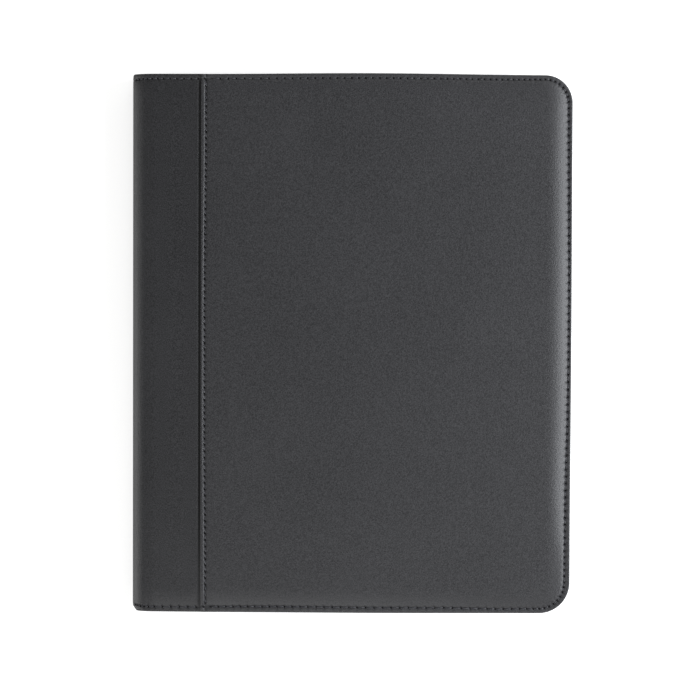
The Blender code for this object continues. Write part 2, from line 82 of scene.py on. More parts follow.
# %% [markdown]
# ## Sizes
# The sizes below repeat the ones that the CAD model was made from, in metres. WIDTH runs from
# the spine to the fore edge (+X), HEIGHT from foot to head (+Y), THICKNESS from the back cover
# to the front cover (+Z). Depths are measured from a cover's outer face towards the inside, so
# that the same numbers serve the front (side +1) and the back (side -1).

# %% Sizes shared by all the pieces
low, high = (Vector(c) for c in cad_box)
WIDTH = high.x - low.x
HEIGHT = high.y - low.y
THICKNESS = high.z - low.z
MIDDLE = THICKNESS / 2
CORNER = 18 * MM
FOLD_RADIUS = 8 * MM
SPINE_X = -WIDTH / 2
SEAM_X = SPINE_X + 42.5 * MM
FLAT_X = SPINE_X + FOLD_RADIUS
DROP = 2.8 * MM
HEM = 1.8 * MM
HEM_REACH = 6.6 * MM
LEATHER = 0.75 * MM
SEAM_STITCH = 3.9 * MM
SIDES = {"front": 1, "back": -1}


def level(side, depth):
    """Height of a point that lies depth below the outer face of a cover."""
    return MIDDLE + side * (MIDDLE - depth)


def share(value):
    """A value limited to 0..1."""
    return min(1.0, max(0.0, value))


def smooth(value):
    """Smoothstep of a value limited to 0..1."""
    value = share(value)
    return value * value * (3 - 2 * value)


def bell(value, width, power=2):
    """1 at 0, falling off on both sides within about a width."""
    return math.exp(-((value / width) ** power))


def rounded_off(radius, inset):
    """How far a rounded edge lies below its face at an inset."""
    return radius - math.sqrt(max(0.0, radius**2 - (radius - inset) ** 2)) if inset < radius else 0.0


print("pouch", round(WIDTH, 4), round(HEIGHT, 4), round(THICKNESS, 4))

# %% [markdown]
# ## Camera
# A product shot like this is taken from high above with a long lens, so that the edges stay
# almost parallel. The foot looks 0.7 % narrower than the head, which a tilt of the camera of
# two degrees gives, and the whole is turned by a quarter of a degree.


# %% Camera over the front cover
def into_scene(name, data):
    """A new object in the scene that shows the data."""
    obj = bpy.data.objects.new(name, data)
    bpy.context.scene.collection.objects.link(obj)
    return obj


PIXEL = HEIGHT / 537.4  # metres on the cover per pixel of the photograph, 700 pixels wide
LENS = 120.0
SENSOR = 36.0
TILT = math.radians(2.0)
ROLL = math.radians(0.23)
FRAME = 696.5 * PIXEL
reach = FRAME * LENS / SENSOR
aim = Vector((-1.65 * PIXEL, -5.35 * PIXEL, THICKNESS))
camera_data = bpy.data.cameras.new("camera")
camera_data.lens = LENS
camera_data.sensor_width = SENSOR
camera = into_scene("camera", camera_data)
turn = Matrix.Rotation(ROLL, 4, "Z") @ Matrix.Rotation(-TILT, 4, "X")
camera.matrix_world = Matrix.Translation(aim) @ turn @ Matrix.Translation((0, 0, reach))
bpy.context.scene.camera = camera
print("camera", round(reach, 3), "m from the cover")

# %% [markdown]
# ## Building helpers
# One function adds a shader or geometry node with its settings and links. One turns sRGB hex
# values, as a designer writes them, to the linear values that Blender mixes with. Three more
# make a mesh object, check that it is closed, and finish a piece in the model.


# %% Node and colour helpers
def linear(value):
    """An sRGB hex colour such as "#2b2b2d" as linear RGBA."""
    parts = [int(value[k : k + 2], 16) / 255 for k in (1, 3, 5)]
    return (*[c / 12.92 if c <= 0.04045 else ((c + 0.055) / 1.055) ** 2.4 for c in parts], 1.0)


def feed(tree, node, inputs):
    """Fill inputs of a node: with a value, a socket, or the first live output of a node."""
    for key, value in inputs.items():
        if isinstance(value, bpy.types.Node):
            value = next(socket for socket in value.outputs if socket.enabled)
        if isinstance(value, bpy.types.NodeSocket):
            tree.links.new(value, node.inputs[key])
        else:
            node.inputs[key].default_value = value


def add_node(tree, kind, inputs=None, **settings):
    """A node with its settings and inputs."""
    node = tree.nodes.new(kind)
    for key, value in settings.items():
        setattr(node, key, value)
    feed(tree, node, inputs or {})
    return node


def new_material(name, surface="Object", **fixed):
    """A material, its tree, its Principled shader and the coordinates that patterns follow.

    The fixed values are set on the shader's own sockets.
    """
    made = bpy.data.materials.new(name)
    made.use_nodes = True
    shader = made.node_tree.nodes["Principled BSDF"]
    for key, value in fixed.items():
        shader.inputs[key.replace("_", " ").title().replace("Ior", "IOR")].default_value = value
    place = add_node(made.node_tree, "ShaderNodeTexCoord").outputs[surface]
    return made, made.node_tree, shader, place


def set_look(obj, made):
    """Give an object one material in every slot it has."""
    if not obj.material_slots:
        obj.data.materials.append(made)
    for entry in obj.material_slots:
        entry.material = made


# %% Mesh helpers
def add_mesh(name, vertices, faces, uvs=(), outwards=False, soft=True):
    """A mesh object with running-length UVs; soft shades it smoothly.

    outwards turns a closed mesh right side out, where its maker can't know which side is which.
    """
    mesh = bpy.data.meshes.new(name)
    mesh.from_pydata(vertices, [], faces)
    if uvs:
        mesh.uv_layers.new(name="run").data.foreach_set("uv", np.array(uvs, float).ravel())
    if outwards:
        turned = bmesh.new()
        turned.from_mesh(mesh)
        if turned.calc_volume(signed=True) < 0:
            bmesh.ops.reverse_faces(turned, faces=turned.faces)
            turned.to_mesh(mesh)
        turned.free()
    mesh.polygons.foreach_set("use_smooth", [soft] * len(mesh.polygons))
    return into_scene(name, mesh)


def closed(obj):
    """Report edges that do not have exactly two faces."""
    check = bmesh.new()
    check.from_mesh(obj.data)
    loose = sum(1 for edge in check.edges if len(edge.link_faces) != 2)
    volume = check.calc_volume(signed=True)
    check.free()
    print(obj.name, "open edges", loose, "volume cm3", round(volume * 1e6, 2))


def dress(piece, look, body, node):
    """Finish a piece: its material, the body it rides on and the CAD node that it stands for."""
    set_look(piece, look)
    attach(piece, body)
    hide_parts(node)


# %% [markdown]
# ## Floor and light
# Such goods are shot on a white sweep between soft boxes. The right-hand box is the strongest:
# it draws the bright band where the cover rolls down to the fore edge. The left-hand one lights
# the spine, and two weak ones light the foot and the head. The floor is a pale matt sheet. For
# camera and mirror rays it gets a little light of its own, which brings it to the white of the
# sweep and keeps the soft shadow.

# %% Floor
FLOOR = 4.0
corners = [(x * FLOOR, y * FLOOR, 0) for x, y in ((-1, -1), (1, -1), (1, 1), (-1, 1))]
floor = add_mesh("studio_floor", corners, [(0, 1, 2, 3)], soft=False)
paper_sweep = bpy.data.materials.new("matt_paper_sweep")
paper_sweep.use_nodes = True
tree = paper_sweep.node_tree
tree.nodes.clear()
rays = add_node(tree, "ShaderNodeLightPath")
seen = add_node(
    tree, "ShaderNodeMath", {0: rays.outputs["Is Camera Ray"], 1: rays.outputs["Is Glossy Ray"]},
    operation="MAXIMUM",
)
glow = add_node(tree, "ShaderNodeMath", {0: seen, 1: 0.6}, operation="MULTIPLY")
matt = add_node(tree, "ShaderNodeBsdfDiffuse", {"Color": linear("#efefee")})
lift = add_node(tree, "ShaderNodeEmission", {"Color": (1, 1, 1, 1), "Strength": glow})
both = add_node(tree, "ShaderNodeAddShader", {0: matt, 1: lift})
add_node(tree, "ShaderNodeOutputMaterial", {"Surface": both})
set_look(floor, paper_sweep)


# %% Lamps and surroundings
def soft_box(name, place, target, size, power):
    """A rectangular area lamp at place that points at target."""
    lamp = bpy.data.lights.new(name, "AREA")
    lamp.shape = "RECTANGLE"
    lamp.size, lamp.size_y = size
    lamp.energy = power
    obj = into_scene(name, lamp)
    obj.location = place
    obj.rotation_euler = (Vector(target) - Vector(place)).to_track_quat("-Z", "Y").to_euler()
    return obj


right_box = soft_box("right_soft_box", (0.76, 0.02, 0.55), (0.06, 0, 0), (0.9, 0.5), 11.1)
right_box.data.color = (0.935, 0.96, 1.0)
soft_box("left_soft_box", (-1.1, -0.25, 0.26), (-0.1, 0, 0), (1.1, 0.4), 4.7)
soft_box("foot_soft_box", (-0.15, -0.7, 0.9), (-0.05, -0.1, 0), (0.7, 0.4), 2.5)
soft_box("head_soft_box", (0.2, 0.85, 0.55), (0.05, 0.15, 0), (0.7, 0.3), 1.1)
world = bpy.data.worlds.new("white_room")
bpy.context.scene.world = world
world.use_nodes = True
background = world.node_tree.nodes["Background"]
rays = add_node(world.node_tree, "ShaderNodeLightPath")
room = add_node(
    world.node_tree, "ShaderNodeMapRange",
    {"Value": rays.outputs["Is Camera Ray"], "To Min": 0.22, "To Max": 1.0},
)
feed(world.node_tree, background, {"Color": (1, 1, 1, 1), "Strength": room})
bpy.context.scene.view_settings.view_transform = "Standard"

# %% [markdown]
# ## Synthetic leather
# The covering is polyurethane leather: a cloth with a coat that is cast on a grained paper, so
# that it has a fine pebble grain and an even satin gloss. To the eye that gives soft, broad
# highlights, a faint sparkle from the pebbles and almost no change of colour. The real pebbles
# are 0.3 to 0.5 mm across. They are drawn 1.2 mm across with a finer noise of about 0.6 mm over
# them, because a pixel of the main view is 0.6 mm and smaller ones vanish in it.


# %% Leather material
def pu_leather(name, dark, pale, roughness, grain=1.2 * MM, depth=0.08 * MM):
    """Pebble-grained polyurethane leather."""
    made, tree, shader, place = new_material(name, ior=1.545)
    cells = add_node(
        tree, "ShaderNodeTexVoronoi",
        {"Vector": place, "Scale": 1 / grain, "Smoothness": 0.6, "Randomness": 0.9},
        feature="SMOOTH_F1",
    )
    turned = add_node(
        tree, "ShaderNodeMapping",
        {"Vector": place, "Rotation": (0, 0, math.radians(14)), "Scale": (1.0, 0.9, 1.0)},
    )
    fine = add_node(
        tree, "ShaderNodeTexNoise",
        {"Vector": turned, "Scale": 2.1 / grain, "Detail": 1.0, "Roughness": 0.5},
    )
    broad = add_node(tree, "ShaderNodeTexNoise", {"Vector": place, "Scale": 22.0, "Detail": 3.0})
    mottle = add_node(
        tree, "ShaderNodeMapRange",
        {"Value": fine, "From Min": 0.3, "From Max": 0.7, "To Min": -1.4, "To Max": 1.4},
    )
    shift = add_node(tree, "ShaderNodeMath", {0: broad, 1: mottle}, operation="ADD")
    tone = add_node(
        tree, "ShaderNodeMix",
        {"Factor": shift, "A": linear(dark), "B": linear(pale)},
        data_type="RGBA", clamp_factor=False,
    )
    # Painted shade: a point attribute darkens the needle holes and the grooves along the rows almost to
    # black, and makes them matt, for the shade that falls into them.
    holes = add_node(tree, "ShaderNodeAttribute", attribute_name="needle_hole_shade")
    shade = add_node(
        tree, "ShaderNodeMix",
        {"Factor": holes.outputs["Fac"], "A": tone, "B": linear("#040405")},
        data_type="RGBA",
    )
    gloss = add_node(
        tree, "ShaderNodeMapRange",
        {"Value": fine, "To Min": roughness - 0.06, "To Max": roughness + 0.06},
    )
    matt = add_node(tree, "ShaderNodeMix", {"Factor": holes.outputs["Fac"], "A": gloss, "B": 1.0})
    mixed = add_node(tree, "ShaderNodeMath", {0: cells, 1: fine}, operation="ADD")
    bump = add_node(tree, "ShaderNodeBump", {"Height": mixed, "Distance": depth, "Strength": 0.8})
    feed(tree, shader, {"Base Color": shade, "Roughness": matt, "Normal": bump})
    return made


cover_leather = pu_leather("cover_pu_leather", "#2a2a2c", "#343436", 0.44)
# The spine piece is the same leather, coloured darker as painted shade for the dimmer light that the sloping
# spine flap gets.
shaded_spine_leather = pu_leather("spine_pu_leather_painted_shade", "#202022", "#2c2c2e", 0.45)
print("leather ready")

# %% [markdown]
# ## The outline as rings
# Nearly everything on the pouch follows one outline: straight along the foot, round a corner,
# up the fore edge, round the next corner and back along the head to the seam. A piece that
# follows it is drawn as stations along the outline and rings at growing insets. The photograph
# shows the foot corner a little rounder than the head corner, and the edges bowed by a quarter
# of a millimetre to almost one, as sewn work is.

# %% Stations and rings
HEAD_CORNER = 17 * MM
FOOT_CORNER = 19 * MM
HEAD_BOW = 0.8 * MM
FOOT_BOW = 0.25 * MM
FORE_BOW = 0.25 * MM
FORE_X = WIDTH / 2 + 0.35 * MM
SPINE_OUT = 0.35 * MM
END_Y = HEIGHT / 2 - 0.27 * MM


def stations(left, spacing, lead=()):
    """Stations from the foot end of the outline to its head end, as (run, value) pairs.

    Runs are foot, foot corner, fore edge, head corner and head. The value is x on the foot and
    the head, y on the fore edge, and an angle in the corners. lead holds extra distances from
    the left end, where a seam needs closer stations.
    """
    found = []
    for run, radius in (("foot", FOOT_CORNER), ("head", HEAD_CORNER)):
        right = FORE_X - radius
        begin = left + (lead[-1] if lead else 0)
        count = max(2, round((right - begin) / spacing))
        values = [left + step for step in lead[:-1]]
        values += list(np.linspace(begin, right, count + 1))
        found.append([(run, value) for value in values])
    bottom, top = -END_Y + FOOT_CORNER, END_Y - HEAD_CORNER
    fore = [("fore", y) for y in np.linspace(bottom, top, round((top - bottom) / spacing) + 1)]
    arcs = []
    for run, radius in (("foot_corner", FOOT_CORNER), ("head_corner", HEAD_CORNER)):
        count = round(radius * math.pi / 2 / spacing)
        turn_angles = np.linspace(0, math.pi / 2, count + 1)[1:-1]
        arcs.append([(run, angle) for angle in turn_angles])
    return found[0] + arcs[0] + fore + arcs[1] + found[1][::-1]


def bow(value, begin, end):
    """1 in the middle of a run and 0 at both ends."""
    return math.sin(math.pi * share((value - begin) / (end - begin))) ** 2


def ring_point(station, inset):
    """The point on the plan that lies inset inside the outline at a station."""
    run, value = station
    half = END_Y
    out = max(0.0, 1 - inset / (30 * MM))
    if run == "foot":
        return value, -half + inset - FOOT_BOW * out * bow(value, SEAM_X, FORE_X - FOOT_CORNER)
    if run == "head":
        return value, half - inset + HEAD_BOW * out * bow(value, SEAM_X, FORE_X - HEAD_CORNER)
    if run == "fore":
        swell = bow(value, -half + FOOT_CORNER, half - HEAD_CORNER)
        return FORE_X - inset + FORE_BOW * out * swell, value
    if run == "foot_corner":
        radius, middle, begin = FOOT_CORNER, -half + FOOT_CORNER, -math.pi / 2
    else:
        radius, middle, begin = HEAD_CORNER, half - HEAD_CORNER, 0.0
    angle = begin + value
    reach_in = radius - inset
    return (FORE_X - radius + reach_in * math.cos(angle), middle + reach_in * math.sin(angle))


print(len(stations(SEAM_X, 0.6 * MM)), "stations 0.6 mm apart")

# %% [markdown]
# ## Cover leather
# Each cover is one sheet of leather over a thin foam: flat in the middle, rolling down towards
# the edge to a row of stitches, and ending in a flat turned hem. The roll is deep along the fore
# edge and slight at foot and head, where it shows only in the light. The left edge is turned
# under, laid on the spine piece and sewn through, which leaves a ridge. It could be a box with
# a bump map, but the roll, the ridge and the pull of each stitch shape the highlights, so they
# are in the mesh. The sheet is a height field over the plan: dense rings round the edge, a
# dense strip at the seam and an even filling between them, once for the outer face and once
# for the inner one, joined along the edge.

# %% Profile of the cover
SEAM_EDGE = SEAM_X - 0.75 * MM
SEAM_ROW = 2.9 * MM
STITCH_HEAD = 3.0 * MM
FOOT_DROP = 1.0 * MM
FOOT_LEAN = 0.12
HEAD_DROP = 0.8 * MM
EDGE = 0.6 * MM
GROOVE = 0.45 * MM
ROLL_REACH = 15.5 * MM


# Insets of the stitches in mm, from the seam to the corner and from foot to head.
FOOT_ROW = [(0.0, 3.25), (0.16, 3.6), (0.33, 3.6), (0.5, 3.3), (0.72, 3.3), (0.88, 2.6), (1, 2.8)]
FORE_ROW = [(0.0, 3.5), (0.2, 3.0), (0.33, 2.2), (0.48, 1.9), (0.65, 1.85), (0.77, 2.2), (1, 2.7)]
HEAD_ROW = [(0.0, 3.0), (0.9, 2.95), (1.0, 2.75)]
# How far the border lies below the top of the cover, in mm, from foot to head.
FORE_DROP = [(0.0, 1.05), (0.05, 1.3), (0.1, 2.0), (0.18, 2.6), (0.3, 2.8), (0.9, 2.8), (1, 2.5)]


def part_of(station):
    """Share of its run that a station has passed."""
    run, value = station
    if run == "fore":
        begin, end = -END_Y + FOOT_CORNER, END_Y - HEAD_CORNER
    elif run.endswith("corner"):
        begin, end = 0.0, math.pi / 2
    else:
        begin, end = SEAM_EDGE, FORE_X - (FOOT_CORNER if run == "foot" else HEAD_CORNER)
    return (value - begin) / (end - begin)


def read_table(table, part):
    """Millimetre value of a table at a share of a run, in metres."""
    return float(np.interp(part, *zip(*table))) * MM


def stitch_inset(station):
    """How far the row of stitches lies inside the edge."""
    part = part_of(station)
    straight = {"foot": FOOT_ROW, "fore": FORE_ROW, "head": HEAD_ROW}
    if station[0] in straight:
        return read_table(straight[station[0]], part)
    begin, end = FORE_ROW[-1], HEAD_ROW[-1]
    if station[0] == "foot_corner":
        begin, end = FOOT_ROW[-1], FORE_ROW[0]
    return (begin[1] + (end[1] - begin[1]) * smooth(part)) * MM


def drop_at(station):
    """How far the border lies below the cover: full along the fore edge, less at the ends."""
    part = part_of(station)
    if station[0] == "fore":
        return read_table(FORE_DROP, part)
    if station[0] == "foot_corner":
        return FOOT_DROP + (FORE_DROP[0][1] * MM - FOOT_DROP) * smooth(part)
    if station[0] == "head_corner":
        return HEAD_DROP + (FORE_DROP[-1][1] * MM - HEAD_DROP) * smooth(1 - part)
    return HEAD_DROP if station[0] == "head" else FOOT_DROP


def lean_at(station):
    """Slope of the border outside the stitches: the foot's leans outwards."""
    if station[0] == "foot_corner":
        return FOOT_LEAN * smooth(1 - 2 * part_of(station))
    return FOOT_LEAN if station[0] == "foot" else 0.0


def roll(inset, row, drop, lean=0.0):
    """Depth of the outer face at an inset, where row is the inset of the stitches."""
    begin = row + 0.25 * MM
    depth = drop * (1 - share((inset - begin) / (ROLL_REACH - begin))) ** 2.2
    depth += rounded_off(EDGE, inset)
    groove = (0.09 * MM + 0.04 * drop) * bell(inset - row, GROOVE)
    return depth + groove + lean * max(0.0, row - inset)


def seam_rise(run_in):
    """Height of the folded seam ridge at a distance from its edge, less the roll beside it."""
    edge = 0.5 * MM
    ridge = 0.45 * MM * (1 - share((run_in - edge) / (SEAM_ROW - edge)) ** 2)
    ridge -= rounded_off(edge, run_in)
    dip = 0.1 * MM * bell(run_in - SEAM_ROW, 0.5 * MM)
    beyond = 0.12 * MM * (1 - smooth((run_in - SEAM_ROW) / (6 * MM))) * (run_in > SEAM_ROW)
    return ridge - dip - beyond


def wander(x, y):
    """x of a point by the seam, whose row of stitches wanders towards the spine at mid height."""
    run_in = x - SEAM_EDGE
    if not 0 < run_in < LEAD[-1]:
        return x
    part = min(run_in / SEAM_ROW, 1 - smooth((run_in - SEAM_ROW) / (LEAD[-1] - SEAM_ROW)))
    mid = smooth((HEIGHT * 0.42 - abs(y + 8 * MM)) / (HEIGHT * 0.3))
    return x - (0.1 + 0.75 * mid) * MM * part


# %% Stitch spacing
# The seam was guided by hand: stitches are long on the straights and short in the corners.
FORE_PITCH = [(0.0, 3.8), (0.15, 4.2), (0.4, 4.6), (0.8, 4.9), (1.0, 3.9)]
FOOT_PITCH = [(0.0, 4.6), (0.13, 4.4), (0.35, 5.0), (0.7, 5.5), (0.92, 4.9), (1.0, 3.3)]
HEAD_PITCH = [(0.0, 4.7), (0.15, 5.0), (0.4, 4.4), (0.65, 4.1), (0.85, 3.6), (1.0, 3.1)]
CORNER_PITCH = 3.1
HOLE_WIDTH = 0.56 * MM


def running(points):
    """Running length at every point of a path."""
    steps = np.linalg.norm(np.diff(np.array(points), axis=0), axis=1)
    return np.concatenate([[0], np.cumsum(steps)])


def pitch_at(station):
    """Stitch pitch at a station of the border."""
    table = {"foot": FOOT_PITCH, "fore": FORE_PITCH, "head": HEAD_PITCH}.get(station[0])
    return read_table(table, part_of(station)) if table else CORNER_PITCH * MM


def holes_along(run, pitches):
    """Running lengths of the needle holes, one pitch apart."""
    holes = [0.4 * pitches[0]]
    while holes[-1] < run[-1]:
        holes.append(holes[-1] + float(np.interp(holes[-1], run, pitches)))
    return np.array(holes[:-1])


# The mask of a needle hole sinks the hole into the mesh and also paints its shade dark on the leather.
def needle_hole_shade(run, beside, holes, half, slant=0.3):
    """1 in a needle hole, falling to 0 round it; beside is the distance from the row.

    half is half the length of a hole. The thread pulls each hole into a slit that stands
    askew to the row, as it does in every lockstitch.
    """
    off = run - float(holes[np.argmin(np.abs(holes - run))])
    return math.exp(-((off / half) ** 4) - ((beside + slant * off) / HOLE_WIDTH) ** 4)


def row_shade(beside):
    """Shade in the groove that the thread presses into the leather between the holes."""
    return 0.22 * bell(beside, 0.5 * MM, 4)


def rings(row):
    """Insets of the rings of a cover, closest together at the row of stitches."""
    near = [0, 0.1, 0.25, 0.5, 0.85]
    middle = [row / MM + step for step in (-0.85, -0.55, -0.35, -0.17, 0, 0.17, 0.35, 0.55, 0.9)]
    return [value * MM for value in near + middle + [5.6, 6.5, 7.5, 8.8, 10.3, 12.1, 14.0, 16.2]]


# %% Filling a border
FILL_STEP = 6 * MM


def net(xs, y0, y1, step):
    """Filling points at every x, evenly spaced in y."""
    return [(x, y) for x in xs for y in np.arange(y0, y1, step)]


def filled(plan, border, edges, extra, polygons=()):
    """Triangles between the border's points of a plan and extra points, which join the plan."""
    given = [Vector(plan[v]) for v in border] + [Vector(point) for point in extra]
    points, _, tris, origin, _, _ = delaunay_2d_cdt(given, edges, list(polygons), 1, 1e-9)
    index = []
    for point, source in zip(points, origin):
        if source and source[0] < len(border):
            index.append(border[source[0]])
        else:
            index.append(len(plan))
            plan.append((point.x, point.y))
    return [tuple(index[v] for v in tri) for tri in tris]


# %% The cover as a mesh
LEAD = [0, 0.12, 0.3, 0.5, 0.9, 1.4, 1.9, 2.2, 2.5, 2.75, 2.9, 3.1, 3.4, 3.9, 4.8, 6.2, 9.0]
LEAD = [value * MM for value in LEAD]
END_HOLE = 0.75 * MM  # half the length of a needle hole at head and foot
SIDE_HOLE = 0.85 * MM  # the same at the fore edge, in the corners and along the seam
SOFTNESS = 0.10 * MM  # the slight waves of leather over foam
RINGS = rings(STITCH_HEAD)


def cover_mesh(name, side):
    """A closed cover sheet with its hem, seam ridge and needle holes; side is +1 or -1."""
    line = stations(SEAM_EDGE, 0.55 * MM, LEAD)
    plan, insets = [], []
    rows = [stitch_inset(station) for station in line]
    for station, row in zip(line, rows):
        for inset in rings(row):
            plan.append(ring_point(station, inset))
            insets.append((inset, row, drop_at(station), lean_at(station)))
    run = running([(*ring_point(station, row), 0) for station, row in zip(line, rows)])
    holes = holes_along(run, [pitch_at(station) for station in line])
    count, across = len(line), len(RINGS)
    faces = []
    for i in range(count - 1):
        for j in range(across - 1):
            a = i * across + j
            faces.append((a, a + across, a + across + 1, a + 1))
    edge_of_domain = {i * across for i in range(count)}
    edge_of_domain |= set(range(across)) | {(count - 1) * across + j for j in range(across)}

    seam_columns = len(LEAD)
    bottom = -END_Y + RINGS[-1]
    seam_count = round((-2 * bottom) / (0.5 * MM))
    levels_y = np.linspace(bottom, -bottom, seam_count + 1)
    strip = np.zeros((seam_count + 1, seam_columns), int)
    for k in range(seam_columns):
        strip[0, k] = k * across + across - 1
        strip[seam_count, k] = (count - 1 - k) * across + across - 1
    for r in range(1, seam_count):
        for k, step in enumerate(LEAD):
            strip[r, k] = len(plan)
            plan.append((SEAM_EDGE + step, levels_y[r]))
            insets.append((1.0, STITCH_HEAD, FOOT_DROP, 0.0))
        edge_of_domain.add(int(strip[r, 0]))
    for r in range(seam_count):
        for k in range(seam_columns - 1):
            quad = (strip[r, k], strip[r, k + 1], strip[r + 1, k + 1], strip[r + 1, k])
            faces.append(tuple(int(v) for v in quad))

    loop = [int(strip[0, -1])]
    loop += [i * across + across - 1 for i in range(seam_columns, count - seam_columns)]
    loop += [int(v) for v in strip[::-1, -1]][:-1]
    xs = np.arange(SEAM_EDGE + 14 * MM, WIDTH / 2 - RINGS[-1] - 3 * MM, FILL_STEP)
    extra = net(xs, bottom + 5 * MM, -bottom - 3 * MM, FILL_STEP)
    edges = [(k, (k + 1) % len(loop)) for k in range(len(loop))]
    faces += filled(plan, loop, edges, extra, [list(range(len(loop)))])
    insets += [(1.0, STITCH_HEAD, FOOT_DROP, 0.0)] * (len(plan) - len(insets))

    seam_holes = np.arange(SEAM_STITCH / 2, HEIGHT, SEAM_STITCH)
    top, hole = [], []
    for number, ((x, y), (inset, row, drop, lean)) in enumerate(zip(plan, insets)):
        depth = roll(inset, row, drop, lean)
        run_in = x - SEAM_EDGE
        depth -= seam_rise(run_in) * smooth(inset / (2 * MM))
        # dark is 1 in the needle holes and in the groove along the rows at head and foot: it sinks them into
        # the mesh and is kept as painted shade that darkens the leather there.
        dark = 0.0
        if number < count * across:
            at = number // across
            end_run = line[at][0] in ("foot", "head")
            dark = needle_hole_shade(run[at], inset - row, holes, END_HOLE if end_run else SIDE_HOLE)
            dark = max(dark, row_shade(inset - row) * end_run)
        if run_in < LEAD[-1]:
            pull = needle_hole_shade(y + HEIGHT / 2, run_in - SEAM_ROW, seam_holes, SIDE_HOLE, 0.2)
            pull *= smooth(inset / (1 * MM))
            dark = max(dark, pull)
        depth += 0.8 * MM * dark
        if inset > 5 * MM or inset == 1.0:
            soft = noise.noise(Vector((x * 22, y * 22, side * 3.0)))
            depth += SOFTNESS * soft * smooth((run_in - 3 * MM) / (20 * MM))
        top.append(depth)
        hole.append(dark)
    under = []
    for (x, y), (inset, _, _, _), depth in zip(plan, insets, top):
        turned_hem = DROP + HEM - rounded_off(EDGE, inset)
        under.append(turned_hem if inset < HEM_REACH else depth + LEATHER)

    vertices, below = [], {}
    for number, ((x, y), depth) in enumerate(zip(plan, top)):
        if number in edge_of_domain:
            depth = (depth + under[number]) / 2 if insets[number][0] < EDGE else depth + 0.3 * MM
        vertices.append((wander(x, y), y, level(side, depth)))
    for number, ((x, y), depth) in enumerate(zip(plan, under)):
        if number not in edge_of_domain:
            below[number] = len(vertices)
            vertices.append((wander(x, y), y, level(side, depth)))
    all_faces = [face if side > 0 else face[::-1] for face in faces]
    for face in faces:
        lower = tuple(below.get(v, v) for v in face)
        all_faces.append(lower[::-1] if side > 0 else lower)
    obj = add_mesh(name, vertices, all_faces)
    # Painted shade for the leather's colour at the holes and grooves.
    shade = obj.data.attributes.new("needle_hole_shade", "FLOAT", "POINT")
    shade.data.foreach_set("value", hole + [0.0] * (len(vertices) - len(hole)))
    print(name, len(vertices), "vertices", len(all_faces), "faces")
    return obj, line, rows, run, holes


for label, side in SIDES.items():
    sheet, *border_of = cover_mesh(label + "_cover_leather", side)
    closed(sheet)
    dress(sheet, cover_leather, label + "_cover", label + "_panel")
border_line, border_rows, border_run, border_holes = border_of

# %% [markdown]
# ## Spine leather
# One narrow piece of the same leather wraps the spine. It lies flat on each cover as far as the
# seam, turns round a fold of 8 mm radius and runs straight down the back of the spine. Its
# edges at head and foot are turned in round the board. It is drawn as a closed band: its cross
# section runs from foot to head on the outside and back on the inside, and that section is
# carried along the wrap. The front half bends between the front cover and the spine when the
# pouch opens, the back half between the back cover and the spine, and they meet in the middle.


# %% Points on a wrap round the spine
def wrap_point(side, run, y, across, down):
    """A point of a sheet that wraps the spine.

    run is 0 at the middle of the spine and grows along the wrap to the cover. across and down
    are the depths of the sheet inside the spine's face and inside the cover's face.
    """
    straight = MIDDLE - FOLD_RADIUS
    arc = FOLD_RADIUS * math.pi / 2
    if run <= straight:
        return SPINE_X - SPINE_OUT + across, y, MIDDLE + side * run
    if run <= straight + arc:
        angle = (run - straight) / FOLD_RADIUS
        x = FLAT_X - (FOLD_RADIUS + SPINE_OUT - across) * math.cos(angle)
        lowered = down * (1 - (1 - math.sin(angle)) ** 1.75)
        z = THICKNESS - FOLD_RADIUS + FOLD_RADIUS * math.sin(angle) - lowered
        return x, y, MIDDLE + side * (z - MIDDLE)
    return FLAT_X + run - straight - arc, y, level(side, down)


WRAP_FLAT = MIDDLE - FOLD_RADIUS + FOLD_RADIUS * math.pi / 2
STEP_DOWN = 0.6 * MM


def spine_end(y):
    """How far the spine's face is rounded in near head and foot."""
    radius = 4.2 * MM if y < 0 else 1.6 * MM
    return rounded_off(radius, END_Y - abs(y))


# %% The wrap as a closed band
FLAP_SEAM = WRAP_FLAT + SEAM_X - FLAT_X
FLAP_END = FLAP_SEAM + 0.1 * MM
FLAP_SLOPE = 1.2 * MM
FOLD_EASE = 1.05 * MM
SPINE_GROOVE = 0.16 * MM
FLAP_HOLES = {
    1: FLAP_SEAM - np.cumsum([2.8, 4.3, 4.3, 4.3, 4.2, 4.0, 3.6, 3.3, 3.0, 2.6, 2.4, 2.2]) * MM,
    -1: FLAP_SEAM - np.cumsum([3.6, 5.0, 5.2, 5.2, 5.2, 5.0, 3.6, 2.8, 2.2, 2.0, 1.9]) * MM,
}


def flap_depth(run, inset, row, end):
    """Depth of the spine leather: a step below the cover, sloping gently to the spine."""
    slope = FLAP_SLOPE * share((FLAP_SEAM - run) / (FLAP_SEAM - WRAP_FLAT))
    eased = FOLD_EASE * (1 - smooth((run - WRAP_FLAT + 4.9 * MM) / (10.9 * MM)))
    eased *= 1 + 0.35 * smooth(end * (END_Y - inset) / (130 * MM))
    drop, lean = (HEAD_DROP, 0.0) if end > 0 else (FOOT_DROP, FOOT_LEAN)
    return STEP_DOWN + slope + eased + roll(inset, row, drop, lean)


def flap_row(run):
    """Inset of the stitches from head or foot; it grows a little towards the spine."""
    return STITCH_HEAD + 1.1 * MM * smooth(1 - (run - 6 * MM) / (12 * MM))


